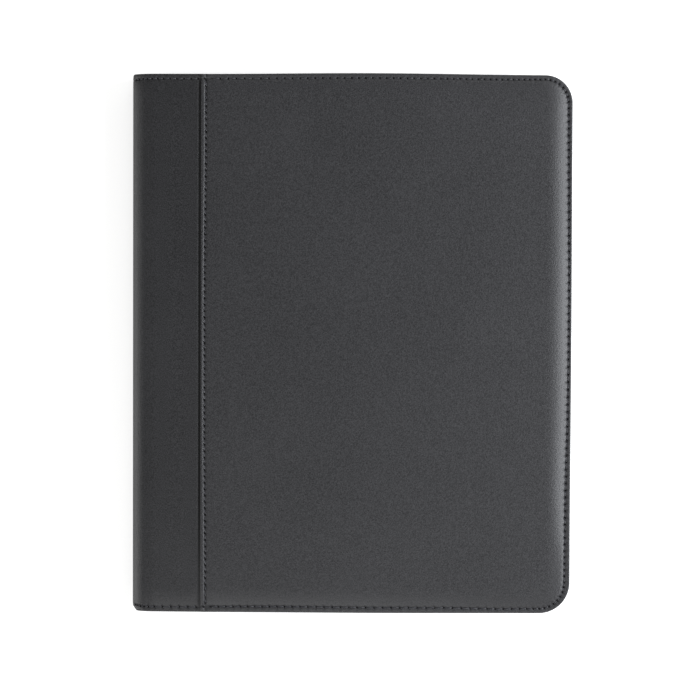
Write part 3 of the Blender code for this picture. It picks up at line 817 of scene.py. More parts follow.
def wrap_mesh(name, side):
    """The front or back half of the spine leather."""
    half = END_Y
    runs = list(np.linspace(0, 4.4 * MM, 4)) + list(np.arange(5 * MM, FLAP_END, 0.5 * MM))
    runs.append(FLAP_END)
    middle = list(np.linspace(-half + 27 * MM, half - 27 * MM, 46))
    seam = FLAP_SEAM
    vertices, hole, faces = [], [], []
    for run in runs:
        section, painted_shades = [], []
        row = flap_row(run)
        edge_rows = rings(row) + [22 * MM]
        ys = [-half + inset for inset in edge_rows] + middle
        ys += [half - inset for inset in edge_rows[::-1]]
        for y in ys:
            inset = half - abs(y)
            across = spine_end(y)
            end = 1 if y > 0 else -1
            down = flap_depth(run, inset, row, end)
            slit = min(END_HOLE, 0.2 * MM + 0.05 * run)
            pull = needle_hole_shade(run, inset - row, FLAP_HOLES[end], slit, -0.3 * end)
            soft = noise.noise(Vector((run * 30, y * 14, side * 7.0))) * SOFTNESS
            soft *= smooth(inset / (12 * MM)) * smooth((seam - run) / (6 * MM)) * smooth(
                (run - 4 * MM) / (6 * MM)
            )
            # The groove beside the seam ridge is sunk and also painted dark as shade, less so towards the
            # foot.
            off = seam - 1.35 * MM - run
            beside = bell(off, (1.25 if off > 0 else 0.95) * MM, 4)
            beside *= smooth((inset - 2 * MM) / (3 * MM)) * (
                0.4 + 0.6 * smooth((y + half - 8 * MM) / (60 * MM))
            )
            down += 0.7 * MM * pull + soft + 0.4 * MM * beside
            across += SPINE_GROOVE * bell(inset - row, GROOVE)
            section.append((y, across + 0.3 * MM * pull, down))
            # Painted shade: the needle holes, the groove along the row and the groove by the seam are
            # darkened.
            painted_shades.append(max(pull, 0.75 * beside, row_shade(inset - row)))
        back = []
        for y, _, down in section[1:-1][::-1]:
            inset = half - abs(y)
            if inset < 7.4 * MM:
                rise = max(0.0, 0.5 * MM - inset)
                back.append((y, 2.35 * MM - rise, DROP + HEM - rise))
            else:
                back.append((y, LEATHER + 0.1 * MM, down + LEATHER))
        section += back
        painted_shades += [0.0] * len(back)
        for (y, across, down), dark in zip(section, painted_shades):
            vertices.append(wrap_point(side, run, y, across, down))
            hole.append(dark)
    size = len(vertices) // len(runs)
    for i in range(len(runs) - 1):
        for j in range(size):
            a, b = i * size + j, i * size + (j + 1) % size
            faces.append((a, a + size, b + size, b))
    outer = len(ys)
    for i, flip in ((0, False), (len(runs) - 1, True)):
        for j in range(outer - 1):
            lower = [i * size + j, i * size + j + 1]
            inner = [(i + 1) * size - j - 1, (i + 1) * size - j]
            inner = [v if v < (i + 1) * size else i * size for v in inner]
            quad = [lower[0], lower[1], inner[0], inner[1]]
            if j == 0:
                quad = [lower[0], lower[1], inner[0]]
            if j == outer - 2:
                quad = [lower[0], lower[1], inner[1]]
            faces.append(tuple(quad[::-1] if flip else quad))
    if side < 0:
        faces = [face[::-1] for face in faces]
    obj = add_mesh(name, vertices, faces)
    marks = obj.data.attributes
    # Painted shade for the leather's colour.
    marks.new("needle_hole_shade", "FLOAT", "POINT").data.foreach_set("value", hole)
    # Where the halves meet, the cut is sharp, so that the face shades on without a line.
    cut = [max(edge.vertices) < size for edge in obj.data.edges]
    marks.new("sharp_edge", "BOOLEAN", "EDGE").data.foreach_set("value", cut)
    return obj


FOLDS = {
    "front": ((-0.1255, 0, 0.0255), (-0.1335, 0, 0.0175)),
    "back": ((-0.1255, 0, 0.0005), (-0.1335, 0, 0.0085)),
}


def bend_over(piece, label):
    """Bend a piece of one half over its fold, from the cover to the spine."""
    start, end = FOLDS[label]
    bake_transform(piece, label + "_cover", "spine", start=start, end=end)


for label, side in SIDES.items():
    wrap = wrap_mesh(label + "_shaded_spine_leather", side)
    closed(wrap)
    # The darker copy of the cover leather: painted shade.
    set_look(wrap, shaded_spine_leather)
    nodes = [label + "_spine_flap"] + (["spine_panel"] if side > 0 else [])
    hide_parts(*nodes)
    bend_over(wrap, label)

# %% [markdown]
# ## Stitches
# The seams are lockstitched with bonded black thread, five to eight stitches to the inch. Each
# stitch is a short arch of thread that dives into a needle hole at both ends. There are over a
# thousand, so Geometry Nodes repeat one arch along each seam: the seam is a chain of points, one
# half way between each two needle holes, and every point carries the leather's upward direction
# and the stretch that fits the arch between its holes. The tree turns each arch to the seam and
# to the leather. The same tree ends repeat the zip's coil, which is spaced by Resample Curve.


# %% A tree that repeats an item along a path
def make_tree(name, sizes):
    """A geometry tree with a geometry input, named sizes, a material, and its group input."""
    tree = bpy.data.node_groups.new(name, "GeometryNodeTree")
    tree.interface.new_socket("Path", in_out="INPUT", socket_type="NodeSocketGeometry")
    for label, value in sizes.items():
        entry = tree.interface.new_socket(label, in_out="INPUT", socket_type="NodeSocketFloat")
        entry.default_value = value
    tree.interface.new_socket("Finish", in_out="INPUT", socket_type="NodeSocketMaterial")
    tree.interface.new_socket("Result", in_out="OUTPUT", socket_type="NodeSocketGeometry")
    return tree, add_node(tree, "NodeGroupInput").outputs


def ended(tree, given, instances, soft):
    """End a tree: instances made real, shaded smoothly if soft, and given their material."""
    solid = add_node(tree, "GeometryNodeRealizeInstances", {"Geometry": instances})
    if soft:
        solid = add_node(tree, "GeometryNodeSetShadeSmooth", {"Geometry": solid})
    done = add_node(
        tree, "GeometryNodeSetMaterial", {"Geometry": solid, "Material": given["Finish"]}
    )
    add_node(tree, "NodeGroupOutput", {"Result": done})
    return tree


def along_path(tree, given, item):
    """Repeat item along the path, turned to it, realised and finished.

    With an input named Pitch the path is spaced anew. Without it there is one item on each
    point of the path, stretched along it by the point's own value "stretch".
    """
    path = add_node(tree, "GeometryNodeMeshToCurve", {"Mesh": given["Path"]})
    placing = {"Points": path, "Instance": item}
    if "Pitch" in given:
        even = add_node(
            tree, "GeometryNodeResampleCurve",
            {"Curve": path, "Length": given["Pitch"]}, mode="LENGTH",
        )
        placing["Points"] = even
    else:
        stretch = add_node(
            tree, "GeometryNodeInputNamedAttribute", {"Name": "stretch"}, data_type="FLOAT"
        )
        scale = add_node(tree, "ShaderNodeCombineXYZ", {"X": stretch, "Y": 1.0, "Z": 1.0})
        placing["Scale"] = scale
    tangent = add_node(tree, "GeometryNodeInputTangent")
    upward = add_node(
        tree, "GeometryNodeInputNamedAttribute", {"Name": "upward"}, data_type="FLOAT_VECTOR"
    )
    along = add_node(tree, "FunctionNodeAlignRotationToVector", {"Vector": tangent}, axis="X")
    stand = add_node(
        tree, "FunctionNodeAlignRotationToVector",
        {"Rotation": along, "Vector": upward},
        axis="Z", pivot_axis="X",
    )
    placing["Rotation"] = stand
    placed = add_node(tree, "GeometryNodeInstanceOnPoints", placing)
    return ended(tree, given, placed, True)


def bent_wire(tree, begin, top, end, radius, steps, sides):
    """A round wire or thread bent from begin over top to end."""
    bend = add_node(
        tree, "GeometryNodeCurveQuadraticBezier",
        {"Resolution": steps, "Start": begin, "Middle": top, "End": end},
    )
    section = add_node(
        tree, "GeometryNodeCurvePrimitiveCircle", {"Resolution": sides, "Radius": radius}
    )
    return add_node(
        tree, "GeometryNodeCurveToMesh",
        {"Curve": bend, "Profile Curve": section, "Fill Caps": True},
    )


def stitch_tree():
    """An arch of thread, slanted across the seam, repeated along a path."""
    sizes = {"Length": 3.0 * MM, "Thread": 0.3 * MM, "Rise": 0.55 * MM, "Slant": 0.14}
    tree, given = make_tree("lockstitch", sizes)
    half = add_node(tree, "ShaderNodeMath", {0: given["Length"], 1: 0.5}, operation="MULTIPLY")
    minus = add_node(tree, "ShaderNodeMath", {0: half, 1: -1.0}, operation="MULTIPLY")
    swing = add_node(tree, "ShaderNodeMath", {0: half, 1: given["Slant"]}, operation="MULTIPLY")
    back = add_node(tree, "ShaderNodeMath", {0: swing, 1: -1.0}, operation="MULTIPLY")
    dive = add_node(tree, "ShaderNodeMath", {0: given["Thread"], 1: -1.1}, operation="MULTIPLY")
    begin = add_node(tree, "ShaderNodeCombineXYZ", {"X": minus, "Y": back, "Z": dive})
    top = add_node(tree, "ShaderNodeCombineXYZ", {"Z": given["Rise"]})
    end = add_node(tree, "ShaderNodeCombineXYZ", {"X": half, "Y": swing, "Z": dive})
    return along_path(tree, given, bent_wire(tree, begin, top, end, given["Thread"], 6, 6))


lockstitch = stitch_tree()


# %% Stitches between needle holes
STITCH = 4.1 * MM
GAP = 1.1 * MM


def between(path, run, holes):
    """One (point, upward, stretch) for each pair of holes along a dense path."""
    points = np.array([point for point, _ in path])
    ups = np.array([up for _, up in path])
    found = []
    for a, b in zip(holes, holes[1:]):
        middle = (a + b) / 2
        point = [float(np.interp(middle, run, points[:, k])) for k in range(3)]
        up = [float(np.interp(middle, run, ups[:, k])) for k in range(3)]
        found.append((point, up, (abs(b - a) - GAP) / (STITCH - GAP)))
    return found


def even_stitches(path, pitch):
    """Stitches of nearly one length along a path of (point, upward) pairs."""
    run = running([point for point, _ in path])
    return between(path, run, np.linspace(0, run[-1], max(2, round(run[-1] / pitch)) + 1))


# %% From a path to a plain mesh
def chain(name, paths):
    """A mesh of open chains; each path is a list of (point, upward direction[, stretch])."""
    points, edges, ups, spans = [], [], [], []
    for path in paths:
        edges += [(len(points) + k, len(points) + k + 1) for k in range(len(path) - 1)]
        points += [entry[0] for entry in path]
        ups += [entry[1] for entry in path]
        spans += [entry[2] if len(entry) > 2 else 1.0 for entry in path]
    mesh = bpy.data.meshes.new(name)
    mesh.from_pydata(points, edges, [])
    held = mesh.attributes.new("upward", "FLOAT_VECTOR", "POINT")
    held.data.foreach_set("vector", np.array(ups, float).ravel())
    mesh.attributes.new("stretch", "FLOAT", "POINT").data.foreach_set("value", spans)
    return into_scene(name, mesh)


def grown(name, paths, tree, finish, **sizes):
    """Run a tree over the paths and keep the result as a plain mesh."""
    obj = chain(name + "_path", paths)
    modifier = obj.modifiers.new("growth", "NODES")
    modifier.node_group = tree
    for entry in tree.interface.items_tree:
        if entry.in_out == "INPUT" and entry.name in sizes:
            modifier[entry.identifier] = sizes[entry.name]
        if entry.in_out == "INPUT" and entry.name == "Finish":
            modifier[entry.identifier] = finish
    bpy.context.view_layer.update()
    ready = obj.evaluated_get(bpy.context.evaluated_depsgraph_get())
    mesh = bpy.data.meshes.new_from_object(ready)
    mesh.name = name
    bpy.data.objects.remove(obj)
    print(name, len(mesh.polygons), "faces")
    return into_scene(name, mesh)


# %% [markdown]
# ### Thread
# Bonded nylon thread, dyed black: smooth and slightly waxy, so it shines more than the leather.


# %% Thread material
bonded_thread, tree, shader, place = new_material(
    "bonded_nylon_thread", base_color=linear("#34343a"), roughness=0.28, ior=1.54,
    sheen_weight=0.15,
)
twist = add_node(
    tree, "ShaderNodeTexWave", {"Vector": place, "Scale": 1400.0, "Distortion": 1.5},
    wave_type="BANDS", bands_direction="DIAGONAL",
)
bump = add_node(tree, "ShaderNodeBump", {"Height": twist.outputs["Fac"], "Distance": 0.05 * MM})
feed(tree, shader, {"Normal": bump})

# %% Stitches round the covers and along the seams
ROW_START = 4.4 * MM  # the first stitch beyond the seam


def sewn(name, paths, body, node, **sizes):
    """Stitches of bonded thread along the paths, which ride on a body; node is not used."""
    stitches = grown(name, paths, lockstitch, bonded_thread, **sizes)
    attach(stitches, body)


for label, side in SIDES.items():
    up = (0, 0, side)
    border = []
    for station, row in zip(border_line, border_rows):
        depth = roll(row, row, drop_at(station))
        border.append(((*ring_point(station, row), level(side, depth)), up))
    keep = border_holes[(border_holes > ROW_START) & (border_holes < border_run[-1] - ROW_START)]
    sewn(
        label + "_cover_stitches", [between(border, border_run, keep)], label + "_cover",
        label + "_panel",
    )
    seam = []
    for y in np.linspace(-END_Y, END_Y, 300):
        drop = HEAD_DROP if y > 0 else FOOT_DROP
        depth = roll(END_Y - abs(y), STITCH_HEAD, drop) - seam_rise(SEAM_ROW)
        seam.append(((wander(SEAM_EDGE + SEAM_ROW, y), y, level(side, depth)), up))
    holes = np.arange(SEAM_STITCH / 2, HEIGHT, SEAM_STITCH)[1:-1]
    run = np.array([entry[0][1] + HEIGHT / 2 for entry in seam])
    sewn(
        label + "_seam_stitches", [between(seam, run, holes)], label + "_cover",
        label + "_panel", Slant=0.3,
    )
    paths = []
    for end in (-1, 1):
        path, runs = [], np.linspace(FLAP_SEAM, 7 * MM, 160)
        for run in runs:
            row = flap_row(run)
            down = flap_depth(run, row, row, end)
            across = spine_end(end * (END_Y - row)) + SPINE_GROOVE
            point = wrap_point(side, run, end * (END_Y - row), across, down)
            out = wrap_point(side, run, 0, across - MM, down - MM)
            inner = wrap_point(side, run, 0, across, down)
            normal = (Vector(out) - Vector(inner)).normalized()
            path.append((point, tuple(normal)))
        holes = FLAP_HOLES[end][FLAP_HOLES[end] > 8 * MM]
        paths.append(between(path[::-1], runs[::-1], holes[::-1]))
    stitches = grown(label + "_spine_stitches", paths, lockstitch, bonded_thread)
    bend_over(stitches, label)

# %% [markdown]
# ## Soft slabs
# Linings, pockets, sleeves and foams are all cut from sheet and have a thickness, a rounded
# edge and a little swell. One helper makes them: a loop of points is stepped inwards a few
# times for the rounded edge, the rest is filled with an even net of triangles, and two
# functions give the depth of the outer and the inner face at every point.


# %% Loops and slabs
def rounded(x0, x1, y0, y1, radii, step=1.5 * MM):
    """A counter-clockwise loop round a rectangle; radii start at the lower left corner."""
    centres = [
        (x0 + radii[0], y0 + radii[0], math.pi, radii[0]),
        (x1 - radii[1], y0 + radii[1], 1.5 * math.pi, radii[1]),
        (x1 - radii[2], y1 - radii[2], 0.0, radii[2]),
        (x0 + radii[3], y1 - radii[3], 0.5 * math.pi, radii[3]),
    ]
    loop = []
    for k, (cx, cy, begin, radius) in enumerate(centres):
        count = max(3, round(radius * math.pi / 2 / step))
        for angle in np.linspace(begin, begin + math.pi / 2, count + 1):
            loop.append((cx + radius * math.cos(angle), cy + radius * math.sin(angle)))
        nx, ny, follow, radius = centres[(k + 1) % 4]
        goal = (nx + radius * math.cos(follow), ny + radius * math.sin(follow))
        last = loop[-1]
        pieces = max(1, round(math.dist(last, goal) / (2.5 * step)))
        for part in np.linspace(0, 1, pieces + 1)[1:-1]:
            loop.append(tuple(np.array(last) + (np.array(goal) - np.array(last)) * part))
    return loop


def inward(loop, distance):
    """The loop moved inwards along its own normals."""
    points = np.array(loop)
    along = np.roll(points, -1, 0) - np.roll(points, 1, 0)
    along /= np.linalg.norm(along, axis=1)[:, None]
    return points + np.stack([-along[:, 1], along[:, 0]], 1) * distance


def loop_distance(loop, points):
    """Distance of each point from the loop."""
    a = np.array(loop)
    d = np.roll(a, -1, 0) - a
    best = np.full(len(points), 1e9)
    for start, step in zip(a, d):
        t = np.clip(((points - start) @ step) / (step @ step), 0, 1)
        away = points - start - t[:, None] * step
        best = np.minimum(best, np.hypot(away[:, 0], away[:, 1]))
    return best


def within(loop, point):
    """True where a point lies inside a loop."""
    inside, (px, py) = False, point
    for (ax, ay), (bx, by) in zip(loop, loop[1:] + loop[:1]):
        if (ay > py) != (by > py) and px < ax + (py - ay) / (by - ay) * (bx - ax):
            inside = not inside
    return inside


def flat(depth):
    """The face of a slab that lies at one depth."""
    return lambda x, y, inset: depth


def slab(name, loop, place, outer, inner, filling, rim=0.25 * MM, hole=(), keep=1.2 * MM):
    """A closed sheet. place(x, y, depth) is a point; outer and inner give depths.

    hole is a second loop, clockwise, that is left open.
    """
    offsets = [0.0, rim * 0.15, rim * 0.5, rim]
    loops = [list(loop)] + ([list(hole)] if hole else [])
    size = sum(len(part) for part in loops)
    follow, begin = [], 0
    for part in loops:
        follow += [begin + (k + 1) % len(part) for k in range(len(part))]
        begin += len(part)
    plan = []
    for offset in offsets:
        for part in loops:
            plan += [tuple(point) for point in inward(part, offset)]
    faces = []
    for k in range(len(offsets) - 1):
        for i in range(size):
            j = follow[i]
            faces.append((k * size + i, k * size + j, (k + 1) * size + j, (k + 1) * size + i))
    last = (len(offsets) - 1) * size
    inside = np.array(filling).reshape(-1, 2)
    for part in loops:
        inside = inside[loop_distance(part, inside) > keep]
    tris = filled(plan, range(last, last + size), list(enumerate(follow)), inside)
    if hole:
        void = [tuple(point) for point in inward(loops[1], rim)]
        tris = [tri for tri in tris if not within(void, np.mean([plan[v] for v in tri], axis=0))]
    faces += tris
    depth_in = np.min([loop_distance(part, np.array(plan)) for part in loops], axis=0)
    vertices, below = [], {}
    for number, ((x, y), inset) in enumerate(zip(plan, depth_in)):
        a, b = outer(x, y, inset), inner(x, y, inset)
        ease = rounded_off(1.0, inset / rim)
        half = (b - a) / 2
        vertices.append(place(x, y, a + half * ease))
        if number >= size:
            below[number] = (x, y, b - half * ease)
    for number, point in below.items():
        below[number] = len(vertices)
        vertices.append(place(*point))
    faces += [tuple(below.get(v, v) for v in face)[::-1] for face in faces]
    obj = add_mesh(name, vertices, faces, outwards=True)
    closed(obj)
    return obj


# %% [markdown]
# ## Lining
# The inside is lined with plain-woven polyester, one sheet for each cover that carries on round
# the fold to the middle of the spine. It is drawn on the plan of the wrap and laid on the same
# fold as the leather, so that both bend together.


# %% Woven lining
def woven(name, dark, pale, thread, roughness, depth, uv=False, sheen=0.3):
    """Plain weave: two sets of threads at right angles, alternately on top."""
    made, tree, shader, place = new_material(
        name, "UV" if uv else "Object", roughness=roughness, ior=1.5, sheen_weight=sheen
    )
    warp, weft = [
        add_node(
            tree, "ShaderNodeTexWave", {"Vector": place, "Scale": 1 / (thread * 3.2)},
            wave_type="BANDS", bands_direction=direction,
        ).outputs["Fac"]
        for direction in "XY"
    ]
    over = add_node(tree, "ShaderNodeMath", {0: warp, 1: weft}, operation="MAXIMUM")
    fuzz = add_node(
        tree, "ShaderNodeTexNoise", {"Vector": place, "Scale": 0.4 / thread, "Detail": 4.0}
    )
    height = add_node(tree, "ShaderNodeMath", {0: over, 1: fuzz}, operation="ADD")
    factor = add_node(tree, "ShaderNodeMath", {0: height, 1: 0.5}, operation="MULTIPLY")
    tone = add_node(
        tree, "ShaderNodeMix",
        {"Factor": factor, "A": linear(dark), "B": linear(pale)}, data_type="RGBA",
    )
    bump = add_node(tree, "ShaderNodeBump", {"Height": height, "Distance": depth})
    feed(tree, shader, {"Base Color": tone, "Normal": bump})
    return made


lining_cloth = woven(
    "woven_polyester_lining", "#101012", "#222226", 0.5 * MM, 0.62, 0.08 * MM, sheen=0.12
)
LINING_INSET = 7.4 * MM
LINING = 0.6 * MM
LINING_DEPTH = 4.9 * MM
LINING_BACK = LINING_DEPTH + LINING
FOLD_LINING = 12.8 * MM

for label, side in SIDES.items():
    far = WRAP_FLAT + WIDTH / 2 - LINING_INSET - FLAT_X
    tall = HEIGHT / 2 - LINING_INSET
    corner = CORNER - LINING_INSET
    outline = [
        point
        for point in rounded(0, far, -tall, tall, (0.3 * MM, corner, corner, 0.3 * MM))
        if point[0] > FOLD_LINING + 1.5 * MM
    ]
    upper = HEIGHT / 2 - 2.2 * MM
    ends = [(FOLD_LINING + 1.2 * MM, tall), (FOLD_LINING + 0.4 * MM, tall + 0.8 * MM)]
    ends += [(FOLD_LINING, upper - 0.8 * MM), (FOLD_LINING - 0.6 * MM, upper)]
    ends += [(run, upper) for run in np.linspace(FOLD_LINING - 2 * MM, 0, 7)]
    side_run = [(0, y) for y in np.linspace(upper, -upper, 90)[1:-1]]
    split = max(range(len(outline)), key=lambda k: (outline[k][1] > 0, -outline[k][0]))
    loop = outline[: split + 1] + ends + side_run + [(x, -y) for x, y in ends[::-1]]
    loop += outline[split + 1 :]
    xs = list(np.arange(1 * MM, 24 * MM, 0.9 * MM)) + list(np.arange(26 * MM, far, 6 * MM))

    def lay(run, y, depth, side=side):
        return wrap_point(side, run, y, depth - 2.2 * MM, depth)

    def sag(run, y, inset, side=side):
        soft = noise.noise(Vector((run * 26, y * 26, side * 5.0)))
        return LINING_DEPTH + 0.12 * MM * soft * smooth(inset / (10 * MM))

    lining = slab(
        label + "_cover_lining", loop, lay, sag,
        flat(LINING_BACK),
        net(xs, -tall, tall, 6 * MM)
        + net(xs[:12], tall + 1 * MM, upper, 1.5 * MM) + net(xs[:12], -upper, -tall, 1.5 * MM),
        0.2 * MM,
    )
    set_look(lining, lining_cloth)
    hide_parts(label + "_lining", *(["spine_lining"] if side > 0 else []))
    bend_over(lining, label)

# %% [markdown]
# ## Foam
# About a millimetre of polyurethane foam under the leather gives the covers their soft roll. It
# can't be seen, but it is there in a cut or an exploded view, so it is a crowned pad that
# thins out under the roll.

# %% Foam pads
foam_look, tree, shader, place = new_material(
    "slab_stock_polyurethane_foam", base_color=linear("#8d8f92"), roughness=0.95
)
cells = add_node(tree, "ShaderNodeTexVoronoi", {"Vector": place, "Scale": 1600.0})
bump = add_node(tree, "ShaderNodeBump", {"Height": cells, "Distance": 0.2 * MM})
feed(tree, shader, {"Normal": bump})

for label, side in SIDES.items():
    node_low, node_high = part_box(label + "_foam")
    loop = rounded(
        node_low.x, node_high.x, node_low.y, node_high.y, (1 * MM, 8 * MM, 8 * MM, 1 * MM)
    )
    xs = np.arange(node_low.x + 3 * MM, node_high.x, 8 * MM)
    foam = slab(
        label + "_foam_pad", loop, lambda x, y, depth, side=side: (x, y, level(side, depth)),
        lambda x, y, inset: max(
            1.65 * MM + 0.75 * MM * (1 - smooth(inset / (12 * MM))), 2.38 * MM * (x < SEAM_X)
        ),
        flat(2.68 * MM),
        net(xs, node_low.y, node_high.y, 8 * MM), 0.3 * MM,
    )
    dress(foam, foam_look, label + "_cover", label + "_foam")

# %% [markdown]
# ## Zip
# The zip is a nylon coil on woven tape. The tape is glued flat under the hem of each cover and
# turns down 6.5 mm inside the edge, where the two coils meet half way. Each turn of the coil is
# a hairpin of nylon wire: it can't be seen as single teeth in the main view, but it is the
# first thing in a side view. Geometry Nodes repeat one hairpin along the tape edge, and the
# second row is shifted by half a pitch, as the teeth of a closed zip are.


# %% Tape carried along the outline
def tube(name, rings, run, girth, around=False, soft=True):
    """A closed section carried through rings of points, with UVs of running length and girth.

    around joins the last ring to the first; without it both ends are capped.
    """
    count, size = len(rings), len(rings[0])
    faces, uvs = [], []
    for i in range(count if around else count - 1):
        here, ahead = i * size, (i + 1) % count * size
        for j in range(size):
            b = (j + 1) % size
            faces.append((here + j, ahead + j, ahead + b, here + b))
            uvs += [(run[i], girth[j]), (run[i + 1], girth[j])]
            uvs += [(run[i + 1], girth[j + 1]), (run[i], girth[j + 1])]
    if not around:
        faces.append(tuple(range(size)))
        faces.append(tuple((count - 1) * size + k for k in range(size))[::-1])
        uvs += [(0.0, 0.0)] * (2 * size)
    vertices = [point for ring in rings for point in ring]
    return add_mesh(name, vertices, faces, uvs, outwards=True, soft=soft)


def sweep(name, line, section, side):
    """A closed section of (inset, depth) pairs carried along the outline."""
    rings = [
        [(*ring_point(station, inset), level(side, depth)) for inset, depth in section]
        for station in line
    ]
    run = running([(*ring_point(station, section[0][0]), 0) for station in line])
    obj = tube(name, rings, run, running(list(section) + [section[0]]), soft=False)
    closed(obj)
    return obj


tape_cloth = woven(
    "woven_polyester_zip_tape", "#101012", "#26262a", 0.55 * MM, 0.6, 0.15 * MM, uv=True
)
TAPE = [(1.6, 4.9), (4.0, 4.9), (6.3, 4.9), (6.75, 5.02), (7.0, 5.25), (7.1, 5.6), (7.1, 9.0)]
TAPE += [(7.1, 12.72), (6.6, 12.78), (6.5, 12.6), (6.5, 9.0), (6.5, 6.1), (6.4, 5.75)]
TAPE += [(6.1, 5.52), (4.0, 5.5), (1.6, 5.5)]
TAPE = [(inset * MM, depth * MM) for inset, depth in TAPE]
TAPE_LEFT = SPINE_X + 6.2 * MM


def coil_tree():
    """A hairpin of wire, pointing up from the tape edge, repeated along a path."""
    sizes = {"Pitch": 2.0 * MM, "Shift": 0.0, "Root": 2.4 * MM, "Reach": 0.5 * MM}
    tree, given = make_tree("nylon_coil", {**sizes, "Width": 0.5 * MM, "Wire": 0.36 * MM})
    down = add_node(tree, "ShaderNodeMath", {0: given["Root"], 1: -1.0}, operation="MULTIPLY")
    peak = add_node(
        tree, "ShaderNodeMath", {0: given["Reach"], 1: 2.0, 2: given["Root"]},
        operation="MULTIPLY_ADD",
    )
    other = add_node(tree, "ShaderNodeMath", {0: given["Width"], 1: -1.0}, operation="MULTIPLY")
    begin = add_node(
        tree, "ShaderNodeCombineXYZ",
        {"X": given["Shift"], "Y": given["Width"], "Z": down},
    )
    top = add_node(tree, "ShaderNodeCombineXYZ", {"X": given["Shift"], "Z": peak})
    end = add_node(tree, "ShaderNodeCombineXYZ", {"X": given["Shift"], "Y": other, "Z": down})
    return along_path(tree, given, bent_wire(tree, begin, top, end, given["Wire"], 7, 5))


nylon_coil = coil_tree()
coil_look, tree, shader, place = new_material(
    "drawn_nylon_wire", base_color=linear("#141416"), roughness=0.32, ior=1.53
)
wear = add_node(tree, "ShaderNodeTexNoise", {"Vector": place, "Scale": 900.0, "Detail": 2.0})
gloss = add_node(tree, "ShaderNodeMapRange", {"Value": wear, "To Min": 0.22, "To Max": 0.42})
feed(tree, shader, {"Roughness": gloss})

TOOTH_INSET = 5.5 * MM
COIL_LEFT = -101.5 * MM
for label, side in SIDES.items():
    tape = sweep(label + "_woven_tape", stations(TAPE_LEFT, 2 * MM), TAPE, side)
    dress(tape, tape_cloth, label + "_cover", label + "_zip_tape")
    line = [
        (ring_point(station, TOOTH_INSET) + (MIDDLE,), (0, 0, -side))
        for station in stations(COIL_LEFT, 1 * MM)
    ]
    coil = grown(
        label + "_coil", [line], nylon_coil, coil_look, Shift=0.0 if side > 0 else 1.0 * MM
    )
    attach(coil, label + "_cover")
    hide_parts(label + "_zip_teeth")

# %% [markdown]
# ## Slider, puller and stops
# The slider is die-cast zinc with a black nickel plating: two plates that hold the coils
# between them, a post that parts the coils at the wide end, lips that guide them, and a bridge
# that carries the puller. The puller is a stamped tab that hangs from a pin under the bridge.
# Small parts like these read as real through their rounded edges, so each is a slab with a rim
# and a crowned face, laid on the foot wall.

# %% Plated metal
black_nickel, tree, shader, place = new_material(
    "black_nickel_plated_zinc", metallic=1.0, roughness=0.26
)
wear = add_node(tree, "ShaderNodeTexNoise", {"Vector": place, "Scale": 420.0, "Detail": 4.0})
tone = add_node(
    tree, "ShaderNodeMix",
    {"Factor": wear, "A": linear("#2b2b2f"), "B": linear("#45454b")},
    data_type="RGBA",
)
gloss = add_node(tree, "ShaderNodeMapRange", {"Value": wear, "To Min": 0.18, "To Max": 0.36})
feed(tree, shader, {"Base Color": tone, "Roughness": gloss})


# %% Parts that lie on the foot wall
def on_wall(x, rise, inset):
    """A point at x along the foot, rise above the middle, inset inside the outline."""
    return x, -HEIGHT / 2 + inset, MIDDLE + rise


def wall_slab(name, loop, outer, inner, rim, hole=(), step=0.6 * MM, crown=0.0):
    """A small metal plate on the foot wall, with a crowned outer face."""
    points = np.array(loop)
    xs = np.arange(points[:, 0].min(), points[:, 0].max(), step)
    filling = net(xs, points[:, 1].min(), points[:, 1].max(), step)
    return slab(
        name, loop, on_wall, lambda x, z, d: outer - crown * smooth(d / (2.4 * MM)),
        flat(inner), filling, rim, hole, 0.3 * MM,
    )


def joined(name, parts):
    """Several meshes as one object."""
    merged = bmesh.new()
    for part in parts:
        merged.from_mesh(part.data)
        bpy.data.objects.remove(part)
    mesh = bpy.data.meshes.new(name)
    merged.to_mesh(mesh)
    merged.free()
    mesh.polygons.foreach_set("use_smooth", [True] * len(mesh.polygons))
    return into_scene(name, mesh)


def band(name, path, thick, low_edge, high_edge, place, closed_path=False, rim=0.15 * MM):
    """A strip of constant thickness that follows path in a plane and is low..high wide."""
    points = np.array(path)
    ahead = np.roll(points, -1, 0)
    behind = np.roll(points, 1, 0)
    if not closed_path:
        ahead[-1], behind[0] = points[-1], points[0]
    along = ahead - behind
    along /= np.linalg.norm(along, axis=1)[:, None]
    normal = np.stack([-along[:, 1], along[:, 0]], 1)
    half = thick / 2
    section = [(half - rim, low_edge), (half, low_edge + rim), (half, high_edge - rim)]
    section += [(half - rim, high_edge), (rim - half, high_edge), (-half, high_edge - rim)]
    section += [(-half, low_edge + rim), (rim - half, low_edge)]
    rings = []
    for (x, y), (out_x, out_y) in zip(points, normal):
        rings.append([place(x + out_x * off, y + out_y * off, across) for off, across in section])
    girth = [across for _, across in section + section[:1]]
    return tube(name, rings, running(list(path) + [path[0]]), girth, closed_path)


# %% Slider
SLIDE_LOW, SLIDE_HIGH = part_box("slider_body")
SLIDE_X0, SLIDE_X1 = SLIDE_LOW.x, SLIDE_HIGH.x
SLIDE_HALF = (SLIDE_HIGH.z - SLIDE_LOW.z) / 2
SLIDE_MID = (SLIDE_X0 + SLIDE_X1) / 2
PIN_X = -100 * MM


